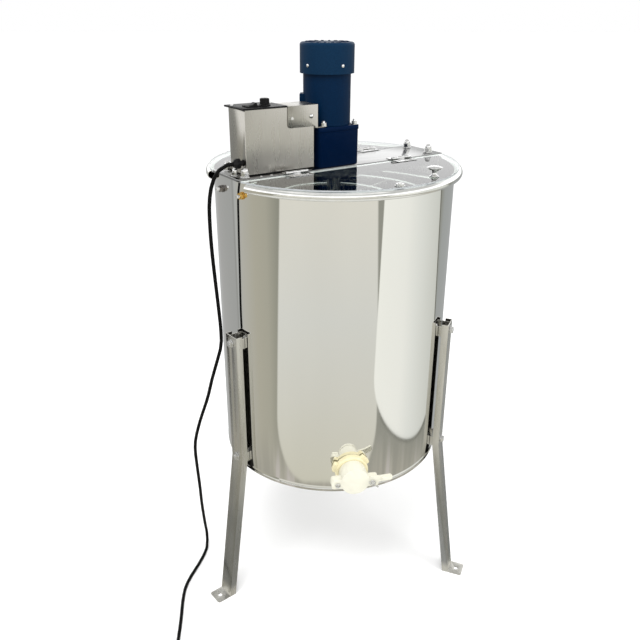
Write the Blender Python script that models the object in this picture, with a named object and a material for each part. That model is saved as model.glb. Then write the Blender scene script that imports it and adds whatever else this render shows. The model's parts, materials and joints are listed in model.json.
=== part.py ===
"""Electric honey extractor: steel drum on three legs, motor-driven basket, two hinged lids, honey gate.

Metres, +Z up.  The floor is z = 0.  The drum's axis is vertical and passes through (0, AXIS_Y).
The honey gate faces -Y, and the crossbar that carries the motor runs at BAR_AZIMUTH to +X.
"""
import math

import bmesh
import bpy
from mathutils import Matrix, Vector

GAP = 0.0003                 # air between neighbouring pieces

# Drum
DRUM_RADIUS = 0.2375         # outside of the wall
DRUM_WALL = 0.0012
DRUM_BOTTOM = 0.318
RIM = 0.936                  # top of the rolled rim
BEAD_RADIUS = 0.008          # rolled rim
DRUM_SIDES = 64
DRUM_INSIDE = DRUM_RADIUS - DRUM_WALL
BEAD_CENTRE = DRUM_INSIDE + BEAD_RADIUS
FLOOR_EDGE = 0.330           # height of the drum floor at the wall
FLOOR_CENTRE = 0.3455        # and at its middle, so that honey runs outwards
FLOOR_SHEET = 0.0015

# Crossbar, lids and hinges, with heights above the rim
BAR_AZIMUTH = math.radians(25.2)
BAR_HALF_LENGTH = 0.240
BAR_HALF_WIDTH = 0.0535
BAR_BOTTOM = 0.0015
BAR_TOP = 0.0045
BAR_FLANGE_DEPTH = 0.018
BAR_FLANGE_REACH = 0.205
BAR_LIP_DEPTH = 0.0015
NOTCH_HALF_ANGLE = math.radians(16.6)
LID_RADIUS = 0.2455
LID_EDGE = 0.0555            # straight edge of a lid, from the bar's middle line
LID_SHEET = 0.003
HINGE_LINE = 0.0575          # hinge pin, from the bar's middle line
HINGE_HEIGHT = 0.0074
HINGE_PLACES = (-0.124, 0.124)
HINGE_HALF_LENGTH = 0.024
HINGE_BARREL = 0.0028
HINGE_KNUCKLE = 0.0078       # half length of the middle knuckle
HINGE_LEAF = 0.0012
KNOB_PLACE = (0.072, 0.213)

# Legs
LEG_AZIMUTHS = {"left": -150.0, "right": -30.0, "rear": 90.0}
LEG_FACE = 0.2578            # outer face of the upright, from the drum's axis
LEG_TOP = 0.631
LEG_BEND = 0.345
LEG_HALF_WIDTH = 0.019
LEG_DEPTH = 0.014
LEG_SHEET = 0.0015
FOOT_BEND = 0.3057           # where the outer face meets the floor
FOOT_REACH = 0.336
FOOT_HOLE = 0.0045
LEG_BOLT_HEIGHTS = {"upper": 0.615, "lower": 0.351}
BRACKET_HALF_WIDTH = 0.017
BRACKET_HALF_HEIGHT = 0.011
BRACKET_SHEET = 0.002
LEG_BOLT_HOLE = 0.0044

# Honey gate, with distances from the drum's axis
GATE_HEIGHT = 0.373
GATE_BORE = 0.019
GATE_NECK = 0.023
GATE_BARREL = 0.0275
GATE_SEAT = 0.2785
BLADE_SHEET = 0.005
RING_NUT_RADIUS = 0.0335
RING_NUT_TURN = math.radians(42)
EAR_PLACE = (0.0345, -0.004)     # screw, from the gate's axis
EAR_REACH = 0.0465
EAR_LOW = -0.0125
EAR_HIGH = 0.0070
EAR_CORNER = 0.005
HANDLE_TIP = 0.074
WING_TOP = 0.293

# Motor, gearbox and gears, with heights above the rim
MOTOR_OFFSET = -0.0185       # motor axis along the bar; the output shaft is on the drum's axis
GEARBOX_HALF = 0.045
GEARBOX_WALL = 0.004
GEARBOX_TOP = 0.078
GEARBOX_FLANGE = 0.008
MOTOR_RADIUS = 0.045
MOTOR_TOP = 0.188
COVER_RADIUS = 0.051
COVER_BOTTOM = 0.171
COVER_TOP = 0.225
COVER_WALL = 0.0015
GEAR_MODULE = 0.00108
SMALL_TEETH = 10
LARGE_TEETH = 30
GEAR_DISTANCE = GEAR_MODULE * (SMALL_TEETH + LARGE_TEETH) / 2
UPPER_GEARS = (0.048, 0.060)
LOWER_GEARS = (0.022, 0.036)

# Basket
BASKET_TOP = 0.868
BASKET_BOTTOM = 0.382
BASKET_RADIUS = 0.205
BASKET_GUIDE_RADIUS = 0.118  # inner ring of the top frame, which keeps the combs upright
BASKET_REST_RADIUS = 0.150   # inner ring of the bottom frame, which the combs stand on
BASKET_ROD = 0.003
COMB_HALF_WIDTH = 0.118      # a hive frame stands on end against each screen
SCREEN_DISTANCE = 0.165      # outside of a screen, from the axis
SCREEN_SHEET = 0.002
SPOKE_RADIUS = 0.0028
BASKET_CORNERS = [math.radians(45 + 90 * i) for i in range(4)]
SHAFT_RADIUS = 0.009
OUTPUT_RADIUS = 0.0075

# Control box on the crossbar: (low, high) along the bar, across it and above the rim
BOX_X = (-0.217, -0.074)
BOX_Y = (-0.039, 0.0215)
BOX_Z = (BAR_TOP + GAP, 0.1195)
BOX_SHEET = 0.0015
PANEL_X = (-0.2215, -0.1315)
PANEL_Y = (-0.0415, 0.0300)
PANEL_SHEET = 0.003
KNOB_SPOT = (-0.166, -0.0197)
SWITCH_SPOT = (-0.1934, -0.0210)
HOOD_X = (-0.1308, -0.066)
HOOD_BACK = 0.012
GLAND_PLACE = (-0.0265, 0.028)
GLAND_END = -0.238

# Power cord
CORD_RADIUS = 0.0035
CORD_REST = 0.0037           # height of its middle where it lies on the floor
COIL_RADIUS = 0.042
COIL_CENTRE = (-0.328, -0.352)
CORD_STEP = 0.0195

# The middle of the whole outline, front to back, is y = 0.
AXIS_Y = (WING_TOP - FOOT_REACH) / 2

MATERIALS = {
    "mirror_steel": ((0.78, 0.78, 0.76), 0.08, 1.0),
    "satin_steel": ((0.62, 0.60, 0.56), 0.32, 1.0),
    "bright_bolt": ((0.70, 0.70, 0.70), 0.22, 1.0),
    "clear_acrylic": ((0.72, 0.80, 0.78), 0.06, 0.0),
    "navy_paint": ((0.008, 0.030, 0.085), 0.42, 0.0),
    "cream_plastic": ((0.86, 0.82, 0.66), 0.40, 0.0),
    "yellow_plastic": ((0.78, 0.72, 0.42), 0.42, 0.0),
    "black_plastic": ((0.012, 0.012, 0.012), 0.45, 0.0),
    "black_rubber": ((0.010, 0.010, 0.010), 0.60, 0.0),
    "cast_iron": ((0.20, 0.20, 0.20), 0.50, 1.0),
    "laminations": ((0.30, 0.20, 0.12), 0.55, 1.0),
}


def clear_scene():
    """Remove every object of the open file."""
    for old in list(bpy.data.objects):
        bpy.data.objects.remove(old)


def material(name):
    """The named material, made on first use."""
    found = bpy.data.materials.get(name)
    if found:
        return found
    colour, roughness, metallic = MATERIALS[name]
    made = bpy.data.materials.new(name)
    made.use_nodes = True
    shader = made.node_tree.nodes["Principled BSDF"]
    shader.inputs["Base Color"].default_value = (*colour, 1.0)
    shader.inputs["Roughness"].default_value = roughness
    shader.inputs["Metallic"].default_value = metallic
    return made


def frame(name, location, rotation=(0.0, 0.0, 0.0), parent=None):
    """An empty that carries a group of pieces."""
    empty = bpy.data.objects.new(name, None)
    bpy.context.collection.objects.link(empty)
    empty.location = location
    empty.rotation_euler = rotation
    empty.parent = parent
    return empty


def to_mesh(name, shape):
    """Turn a closed bmesh into a mesh whose faces point outwards."""
    bmesh.ops.recalc_face_normals(shape, faces=shape.faces)
    mesh = bpy.data.meshes.new(name)
    shape.to_mesh(mesh)
    shape.free()
    return mesh


def piece(name, shape, finish, parent, location=(0.0, 0.0, 0.0), rotation=(0.0, 0.0, 0.0)):
    """A named piece from a bmesh drawn in its own coordinates."""
    made = bpy.data.objects.new(name, to_mesh(name, shape))
    bpy.context.collection.objects.link(made)
    made.location = location
    made.rotation_euler = rotation
    made.parent = parent
    made.data.materials.append(material(finish))
    smooth(made)
    return made


def smooth(made):
    """Shade round faces smooth and keep corners sharp."""
    made.data.shade_smooth()
    made.data.set_sharp_from_angle(angle=math.radians(35))


def combine(made, operation, shapes):
    """Weld shapes to a piece or cut them out of it; they are drawn in the piece's coordinates."""
    bpy.context.view_layer.update()
    tools = []
    for shape in shapes:
        tool = bpy.data.objects.new("tool", to_mesh("tool", shape))
        bpy.context.collection.objects.link(tool)
        tool.matrix_world = made.matrix_world
        modifier = made.modifiers.new("combine", "BOOLEAN")
        modifier.operation = operation
        modifier.solver = "EXACT"
        modifier.object = tool
        tools.append(tool)
    bpy.context.view_layer.update()
    result = made.evaluated_get(bpy.context.evaluated_depsgraph_get())
    mesh = bpy.data.meshes.new_from_object(result)
    finish = made.data.materials[0]
    made.modifiers.clear()
    made.data = mesh
    mesh.materials.clear()
    mesh.materials.append(finish)
    for tool in tools:
        bpy.data.objects.remove(tool)
    smooth(made)


def weld(made, *shapes):
    combine(made, "UNION", shapes)


def cut(made, *shapes):
    combine(made, "DIFFERENCE", shapes)


def prism(outline, low, high):
    """An outline in the XY plane, drawn up from low to high."""
    shape = bmesh.new()
    bottom = [shape.verts.new((x, y, low)) for x, y in outline]
    top = [shape.verts.new((x, y, high)) for x, y in outline]
    shape.faces.new(bottom)
    shape.faces.new(top)
    for i in range(len(outline)):
        j = (i + 1) % len(outline)
        shape.faces.new((bottom[i], bottom[j], top[j], top[i]))
    return shape


def block(xs, ys, zs):
    """A box between (low, high) pairs."""
    outline = [(xs[0], ys[0]), (xs[1], ys[0]), (xs[1], ys[1]), (xs[0], ys[1])]
    return prism(outline, zs[0], zs[1])


def circle(radius, sides, centre=(0.0, 0.0)):
    """Points on a circle."""
    steps = [2 * math.pi * i / sides for i in range(sides)]
    return [(centre[0] + radius * math.cos(a), centre[1] + radius * math.sin(a)) for a in steps]


def rounded(half_x, half_y, radius, steps=3):
    """A rectangle with round corners."""
    points = []
    corners = ((1, 1, 0), (-1, 1, 90), (-1, -1, 180), (1, -1, 270))
    for side_x, side_y, start in corners:
        for i in range(steps + 1):
            angle = math.radians(start + 90 * i / steps)
            x = side_x * (half_x - radius) + radius * math.cos(angle)
            y = side_y * (half_y - radius) + radius * math.sin(angle)
            points.append((x, y))
    return points


def shifted(outline, dx, dy):
    return [(x + dx, y + dy) for x, y in outline]


def turned(profile, sides):
    """A solid of revolution about Z.

    The profile is a closed loop of (radius, z) points.  A point may carry "hex" as a third value,
    which makes its ring a hexagon with that radius at the corners; sides is then 12.
    """
    shape = bmesh.new()
    rings = []
    for point in profile:
        radius, z = point[0], point[1]
        hexagon = len(point) > 2
        if radius < 1e-6:
            rings.append([shape.verts.new((0.0, 0.0, z))])
            continue
        ring = []
        for i in range(sides):
            angle = 2 * math.pi * i / sides
            reach = radius * math.cos(math.pi / 6) if hexagon and i % 2 else radius
            ring.append(shape.verts.new((reach * math.cos(angle), reach * math.sin(angle), z)))
        rings.append(ring)
    for i, low in enumerate(rings):
        high = rings[(i + 1) % len(rings)]
        join_rings(shape, low, high)
    return shape


def join_rings(shape, low, high):
    """Faces between two rings, either of which may be a single point."""
    if len(low) == 1 and len(high) == 1:
        return
    sides = max(len(low), len(high))
    for i in range(sides):
        j = (i + 1) % sides
        corners = [low[i % len(low)], low[j % len(low)], high[j % len(high)], high[i % len(high)]]
        shape.faces.new(list(dict.fromkeys(corners)))


def swept(profile, start, sweep, steps):
    """A (radius, z) outline carried round Z through part of a turn."""
    shape = bmesh.new()
    sections = []
    for i in range(steps + 1):
        angle = start + sweep * i / steps
        section = [shape.verts.new((r * math.cos(angle), r * math.sin(angle), z)) for r, z in profile]
        sections.append(section)
    for first, second in zip(sections, sections[1:]):
        for i in range(len(profile)):
            j = (i + 1) % len(profile)
            shape.faces.new((first[i], first[j], second[j], second[i]))
    shape.faces.new(sections[0])
    shape.faces.new(sections[-1])
    return shape


def rod(start, end, radius, sides=6):
    """A round bar between two points."""
    start = Vector(start)
    along = Vector(end) - start
    shape = prism(circle(radius, sides), 0.0, along.length)
    turn = along.to_track_quat("Z", "Y").to_matrix().to_4x4()
    shape.transform(Matrix.Translation(start) @ turn)
    return shape


def torus(ring_radius, rod_radius, sides, z):
    """A round bar bent into a ring about Z."""
    steps = [2 * math.pi * i / 6 for i in range(6)]
    section = [(ring_radius + rod_radius * math.cos(a), z + rod_radius * math.sin(a)) for a in steps]
    return turned(section, sides)


def moved(shape, offset):
    shape.transform(Matrix.Translation(offset))
    return shape


def gear_outline(teeth, phase):
    """Straight-sided teeth with running clearance; phase is the angle of one tooth."""
    pitch_radius = GEAR_MODULE * teeth / 2
    pitch = 2 * math.pi / teeth
    root = pitch_radius - 0.0009
    tip = pitch_radius + 0.0005
    points = []
    for i in range(teeth):
        middle = phase + pitch * i
        for radius, share in ((root, -0.26), (tip, -0.13), (tip, 0.13), (root, 0.26)):
            angle = middle + share * pitch
            points.append((radius * math.cos(angle), radius * math.sin(angle)))
    return points


def make_drum(root):
    """Wall with its rolled rim, floor and the bearing cup on the floor."""
    centre_z = RIM - BEAD_RADIUS
    first = math.radians(212)
    last = math.radians(540)
    profile = [(DRUM_INSIDE, DRUM_BOTTOM), (DRUM_RADIUS, DRUM_BOTTOM)]
    for i in range(11):
        angle = first + (last - first) * i / 10
        radius = BEAD_CENTRE + BEAD_RADIUS * math.cos(angle)
        profile.append((radius, centre_z + BEAD_RADIUS * math.sin(angle)))
    shell = piece("drum_shell", turned(profile, DRUM_SIDES), "mirror_steel", root)
    notch = [
        (DRUM_RADIUS + GAP, RIM - 0.022),
        (DRUM_RADIUS + 0.030, RIM - 0.022),
        (DRUM_RADIUS + 0.030, RIM + 0.010),
        (DRUM_RADIUS + GAP, RIM + 0.010),
    ]
    notches = []
    for side in (0.0, math.pi):
        start = BAR_AZIMUTH + side - NOTCH_HALF_ANGLE
        notches.append(swept(notch, start, 2 * NOTCH_HALF_ANGLE, 12))
    gate_hole = rod(
        (0.0, -DRUM_RADIUS + 0.02, GATE_HEIGHT),
        (0.0, -DRUM_RADIUS - 0.02, GATE_HEIGHT),
        GATE_NECK + 0.0006,
        24,
    )
    cut(shell, *notches, gate_hole)

    edge = DRUM_INSIDE - GAP
    floor = [
        (0.0, FLOOR_CENTRE - FLOOR_SHEET),
        (edge - FLOOR_SHEET, FLOOR_EDGE - FLOOR_SHEET),
        (edge - FLOOR_SHEET, DRUM_BOTTOM),
        (edge, DRUM_BOTTOM),
        (edge, FLOOR_EDGE),
        (0.0, FLOOR_CENTRE),
    ]
    piece("drum_floor", turned(floor, DRUM_SIDES), "mirror_steel", root)

    base = FLOOR_CENTRE + GAP
    cup = [
        (0.0, base),
        (0.022, base),
        (0.022, base + 0.004),
        (0.0125, base + 0.006),
        (0.0125, base + 0.024),
        (SHAFT_RADIUS + 0.0005, base + 0.024),
        (SHAFT_RADIUS + 0.0005, base + 0.004),
        (0.0, base + 0.004),
    ]
    piece("bearing_cup", turned(cup, 20), "satin_steel", root)


def leg_section(point, depth_direction):
    """The channel section at one place on a leg: its outer face's point, and the way its sides run."""
    inner = LEG_HALF_WIDTH - LEG_SHEET
    channel = (
        (0.0, LEG_HALF_WIDTH), (LEG_DEPTH, LEG_HALF_WIDTH), (LEG_DEPTH, inner), (LEG_SHEET, inner),
        (LEG_SHEET, -inner), (LEG_DEPTH, -inner), (LEG_DEPTH, -LEG_HALF_WIDTH), (0.0, -LEG_HALF_WIDTH),
    )
    section = []
    for depth, side in channel:
        place = point + depth_direction * depth
        section.append((place.x, side, place.y))
    return section


def make_leg(name, carrier):
    """A channel-section leg, bent outwards below the drum, with its foot tab."""
    slope = Vector((FOOT_BEND - LEG_FACE, -LEG_BEND)).normalized()
    inward = Vector((-1.0, 0.0))
    splayed = Vector((slope.y, -slope.x))
    mitre = (inward + splayed).normalized()
    mitre /= -mitre.x
    stations = (
        leg_section(Vector((LEG_FACE, LEG_TOP)), inward),
        leg_section(Vector((LEG_FACE, LEG_BEND)), mitre),
        leg_section(Vector((FOOT_BEND, 0.0004)), inward / -splayed.x),
    )
    shape = bmesh.new()
    rings = []
    for station in stations:
        rings.append([shape.verts.new(corner) for corner in station])
    for first, second in zip(rings, rings[1:]):
        join_rings(shape, first, second)
    shape.faces.new(rings[0])
    shape.faces.new(rings[-1])
    leg = piece("leg_" + name, shape, "satin_steel", carrier)
    weld(leg, prism(foot_outline(), 0.0, LEG_SHEET))
    holes = [prism(circle(FOOT_HOLE, 12, ((FOOT_BEND + FOOT_REACH) / 2, 0.0)), -0.01, 0.01)]
    for height in LEG_BOLT_HEIGHTS.values():
        holes.append(rod((LEG_FACE - 0.01, 0.0, height), (LEG_FACE + 0.01, 0.0, height), LEG_BOLT_HOLE, 12))
    cut(leg, *holes)


def foot_outline():
    """The foot tab, with its outer corners rounded."""
    corner = 0.005
    points = [(FOOT_BEND - 0.001, -LEG_HALF_WIDTH)]
    for start, side in ((270, -1), (0, 1)):
        for i in range(4):
            angle = math.radians(start + 30 * i)
            x = FOOT_REACH - corner + corner * math.cos(angle)
            points.append((x, side * (LEG_HALF_WIDTH - corner) + corner * math.sin(angle)))
    points.append((FOOT_BEND - 0.001, LEG_HALF_WIDTH))
    return points


def make_leg_bracket(name, level, height, carrier):
    """The bracket welded to the drum that one bolt of a leg goes through."""
    outer = LEG_FACE - LEG_SHEET - GAP
    inner = outer - BRACKET_SHEET
    wall = DRUM_RADIUS - 0.0001
    wide = BRACKET_HALF_WIDTH
    narrow = wide - BRACKET_SHEET
    channel = [
        (wall, -wide), (outer, -wide), (outer, wide), (wall, wide),
        (wall, narrow), (inner, narrow), (inner, -narrow), (wall, -narrow),
    ]
    low = height - BRACKET_HALF_HEIGHT
    high = height + BRACKET_HALF_HEIGHT
    bracket = piece(f"leg_bracket_{name}_{level}", prism(channel, low, high), "satin_steel", carrier)
    cut(bracket, rod((inner - 0.005, 0.0, height), (outer + 0.005, 0.0, height), LEG_BOLT_HOLE, 12))


def make_legs(root):
    for name, azimuth in LEG_AZIMUTHS.items():
        carrier = frame("leg_frame_" + name, (0.0, 0.0, 0.0), (0.0, 0.0, math.radians(azimuth)), root)
        make_leg(name, carrier)
        for level, height in LEG_BOLT_HEIGHTS.items():
            make_leg_bracket(name, level, height, carrier)


def make_crossbar(bar):
    """The folded bar across the rim and the bracket under each of its ends."""
    length, width = BAR_HALF_LENGTH, BAR_HALF_WIDTH
    sheet = 0.0015
    plate = block((-length, length), (-width, width), (BAR_BOTTOM, BAR_TOP))
    crossbar = piece("crossbar", plate, "mirror_steel", bar)
    folds = []
    for side in (-1, 1):
        lip = sorted((side * length, side * (length - sheet)))
        flange = sorted((side * width, side * (width - sheet)))
        folds.append(block(lip, (-width, width), (BAR_TOP - BAR_LIP_DEPTH - 0.003, BAR_TOP)))
        flange_z = (BAR_BOTTOM - BAR_FLANGE_DEPTH, BAR_TOP)
        folds.append(block((-BAR_FLANGE_REACH, BAR_FLANGE_REACH), flange, flange_z))
    weld(crossbar, *folds)
    cut(crossbar, prism(circle(0.011, 20), -0.01, 0.01))

    outer = DRUM_INSIDE - 0.0005
    top = BAR_BOTTOM - GAP
    section = [
        (outer, -0.045), (outer, top), (0.200, top),
        (0.200, top - 0.002), (outer - 0.002, top - 0.002), (outer - 0.002, -0.045),
    ]
    half = math.radians(13.0)
    for name, middle in (("right", 0.0), ("left", math.pi)):
        piece("bar_bracket_" + name, swept(section, middle - half, 2 * half, 6), "satin_steel", bar)


def make_lids(bar):
    """Two clear half-round lids with their knobs; each has its origin on its hinge line."""
    for name, side in (("front", -1), ("rear", 1)):
        start = math.asin(LID_EDGE / LID_RADIUS)
        sweep = math.pi - 2 * start
        outline = []
        for i in range(33):
            angle = start + sweep * i / 32
            outline.append((LID_RADIUS * math.cos(angle), side * (LID_RADIUS * math.sin(angle) - HINGE_LINE)))
        low = GAP - HINGE_HEIGHT
        origin = (0.0, side * HINGE_LINE, HINGE_HEIGHT)
        piece(name + "_lid", prism(outline, low, low + LID_SHEET), "clear_acrylic", bar, origin)
        base = low + LID_SHEET + GAP
        knob = [
            (0.0, base), (0.0085, base), (0.0075, base + 0.002), (0.0042, base + 0.006),
            (0.0045, base + 0.010), (0.0105, base + 0.0135), (0.0145, base + 0.0165),
            (0.0120, base + 0.0185), (0.0, base + 0.0198),
        ]
        spot = (KNOB_PLACE[0], side * (KNOB_PLACE[1] - HINGE_LINE), 0.0)
        piece(name + "_lid_knob", moved(turned(knob, 16), spot), "mirror_steel", bar, origin)
        make_hinges(name, side, bar)


def make_hinges(lid, side, bar):
    """Two butt hinges for one lid: the fixed leaf is on the bar, the moving leaf on the lid."""
    for place, x in zip(("left", "right"), HINGE_PLACES):
        origin = (x, side * HINGE_LINE, HINGE_HEIGHT)
        make_fixed_leaf(f"{lid}_hinge_leaf_{place}", side, bar, origin)
        make_moving_leaf(f"{lid}_lid_leaf_{place}", side, bar, origin)


def make_fixed_leaf(name, side, bar, origin):
    """Plate on the bar with a tab and a knuckle at each end."""
    edge = HINGE_HALF_LENGTH
    gap = HINGE_KNUCKLE + 0.0004
    back, front = -0.0172, -0.0036
    low = BAR_TOP + GAP - HINGE_HEIGHT
    outline = [
        (-edge, back), (-edge, 0.0), (-gap, 0.0), (-gap, front),
        (gap, front), (gap, 0.0), (edge, 0.0), (edge, back),
    ]
    plate = prism([(x, side * y) for x, y in outline], low, low + HINGE_LEAF)
    leaf = piece(name, plate, "bright_bolt", bar, origin)
    weld(
        leaf,
        rod((-edge, 0.0, 0.0), (-gap, 0.0, 0.0), HINGE_BARREL, 12),
        rod((gap, 0.0, 0.0), (edge, 0.0, 0.0), HINGE_BARREL, 12),
    )


def make_moving_leaf(name, side, bar, origin):
    """Plate on the lid with the middle knuckle."""
    edge = HINGE_HALF_LENGTH
    middle = HINGE_KNUCKLE
    back, front = 0.0036, 0.0215
    low = 2 * GAP + LID_SHEET - HINGE_HEIGHT
    outline = [
        (-edge, back), (-middle, back), (-middle, 0.0), (middle, 0.0),
        (middle, back), (edge, back), (edge, front), (-edge, front),
    ]
    plate = prism([(x, side * y) for x, y in outline], low, low + HINGE_LEAF)
    leaf = piece(name, plate, "bright_bolt", bar, origin)
    weld(
        leaf,
        block((-middle, middle), (-0.0022, 0.0022), (low, 0.0)),
        rod((-middle, 0.0, 0.0), (middle, 0.0, 0.0), HINGE_BARREL, 12),
    )


def make_gate(gate):
    """Honey gate; its frame's Z runs outwards from the drum's axis, X to the right and Y up."""
    neck_start = DRUM_RADIUS - 0.0115
    barrel_start = DRUM_RADIUS + 0.0130
    body = piece("gate_body", turned([
        (GATE_BORE, neck_start), (GATE_NECK, neck_start), (GATE_NECK, barrel_start),
        (GATE_BARREL, barrel_start), (GATE_BARREL, GATE_SEAT), (GATE_BORE, GATE_SEAT),
    ], 24), "cream_plastic", gate)
    ears = []
    holes = []
    for side in (-1, 1):
        ear_x = side * EAR_PLACE[0]
        ears.append(prism(ear_outline(side), GATE_SEAT - 0.012, GATE_SEAT))
        holes.append(prism(circle(0.0029, 12, (ear_x, EAR_PLACE[1])), GATE_SEAT - 0.02, GATE_SEAT + 0.01))
    weld(body, *ears)
    cut(body, *holes)

    inner = GATE_NECK + GAP + 0.0002
    piece("gate_inner_nut", turned([
        (inner, DRUM_RADIUS - 0.0090), (0.033, DRUM_RADIUS - 0.0090, "hex"),
        (0.033, DRUM_RADIUS - 0.0040, "hex"), (inner, DRUM_RADIUS - 0.0040),
    ], 24), "cream_plastic", gate)

    ring_low = DRUM_RADIUS + GAP
    ring_high = barrel_start - GAP
    nut = piece("gate_ring_nut", turned([
        (inner, ring_low), (RING_NUT_RADIUS, ring_low), (RING_NUT_RADIUS, ring_high - 0.003),
        (RING_NUT_RADIUS - 0.003, ring_high), (inner, ring_high),
    ], 32), "yellow_plastic", gate)
    lugs = []
    for i in range(3):
        turn = Matrix.Rotation(RING_NUT_TURN + 2 * math.pi * i / 3, 4, "Z")
        lug = prism(rounded(0.0060, 0.0095, 0.003), ring_low + 0.0005, ring_high - 0.002)
        lug.transform(turn @ Matrix.Translation((RING_NUT_RADIUS, 0.0, 0.0)))
        lugs.append(lug)
    weld(nut, *lugs)
    make_gate_blade(gate)
    make_gate_screws(gate)


def ear_outline(side):
    """The plate round one screw, run in under the round part; side is -1 on the left."""
    half_x = (EAR_REACH - 0.012) / 2
    half_y = (EAR_HIGH - EAR_LOW) / 2
    middle = (side * (EAR_REACH - half_x), (EAR_HIGH + EAR_LOW) / 2)
    return shifted(rounded(half_x, half_y, EAR_CORNER), *middle)


def make_gate_blade(gate):
    """The blade swings about the left ear's screw; its slot leaves the right ear's screw."""
    low = GATE_SEAT + GAP
    high = low + BLADE_SHEET
    ear_x, ear_y = EAR_PLACE
    pivot = Vector((-ear_x, ear_y))

    def at(x, y):
        return (x - pivot.x, y - pivot.y)

    disc = prism(circle(GATE_BARREL + 0.0005, 28, at(0.0, 0.0)), low, high)
    blade = piece("gate_blade", disc, "cream_plastic", gate, location=(pivot.x, pivot.y, 0.0))
    handle = [
        at(0.030, -0.006), at(0.050, -0.0035), at(HANDLE_TIP - 0.004, -0.0025), at(HANDLE_TIP, 0.0010),
        at(HANDLE_TIP, 0.0070), at(HANDLE_TIP - 0.004, 0.0105), at(0.050, 0.0085), at(0.030, 0.0090),
    ]
    rib = [
        at(0.053, 0.0000), at(HANDLE_TIP - 0.005, 0.0010), at(HANDLE_TIP - 0.003, 0.0035),
        at(HANDLE_TIP - 0.005, 0.0065), at(0.053, 0.0055),
    ]
    weld(
        blade,
        prism([at(*point) for point in ear_outline(-1)], low + 0.0001, high - 0.0001),
        prism([at(*point) for point in ear_outline(1)], low + 0.0002, high - 0.0002),
        prism(handle, low + 0.0003, high - 0.0003),
        prism(rib, low + 0.001, high + 0.0025),
    )
    slot_x, slot_y = at(ear_x, ear_y)
    cut(
        blade,
        prism(circle(0.0029, 12, (0.0, 0.0)), low - 0.01, high + 0.01),
        prism(circle(0.0032, 12, (slot_x, slot_y)), low - 0.01, high + 0.01),
        block((slot_x - 0.0031, slot_x + 0.0031), (slot_y - 0.02, slot_y), (low - 0.01, high + 0.01)),
    )


def make_gate_screws(gate):
    """The pivot screw in the left ear and the wing screw in the right one."""
    front = GATE_SEAT + BLADE_SHEET + 2 * GAP
    back = GATE_SEAT - 0.012 - GAP
    ear_x, ear_y = EAR_PLACE
    shank = 0.0024
    tail = [
        (0.0, back - 0.006), (shank, back - 0.006), (shank, back - 0.0045),
        (0.0050, back - 0.0045, "hex"), (0.0050, back, "hex"), (shank, back), (shank, front),
    ]
    head = [(0.0055, front), (0.0050, front + 0.0022), (0.0, front + 0.0030)]
    piece("gate_pivot_screw", turned(tail + head, 12), "bright_bolt", gate, location=(-ear_x, ear_y, 0.0))
    boss = [
        (0.0066, front), (0.0062, front + 0.0020), (0.0042, front + 0.0024),
        (0.0036, WING_TOP), (0.0, WING_TOP),
    ]
    screw = piece("gate_wing_screw", turned(tail + boss, 12), "bright_bolt", gate, location=(ear_x, ear_y, 0.0))
    wing = [
        (0.002, front + 0.0026), (0.0085, front + 0.0030), (0.0125, WING_TOP - 0.0030),
        (0.0115, WING_TOP - 0.0004), (0.0075, WING_TOP - 0.0010), (0.002, front + 0.0060),
    ]
    wings = []
    for side in (1, -1):
        shape = prism(wing, -0.0009, 0.0009)
        shape.transform(Matrix.Rotation(math.radians(90), 4, "X"))
        turn = Matrix.Rotation(math.radians(-35 if side == 1 else 145), 4, "Z")
        shape.transform(turn)
        wings.append(shape)
    weld(screw, *wings)


def lay_place():
    """The lay shaft stands at one gear distance from the motor's axis and from the output shaft."""
    half = MOTOR_OFFSET / 2
    return half, math.sqrt(GEAR_DISTANCE ** 2 - half ** 2)


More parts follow.
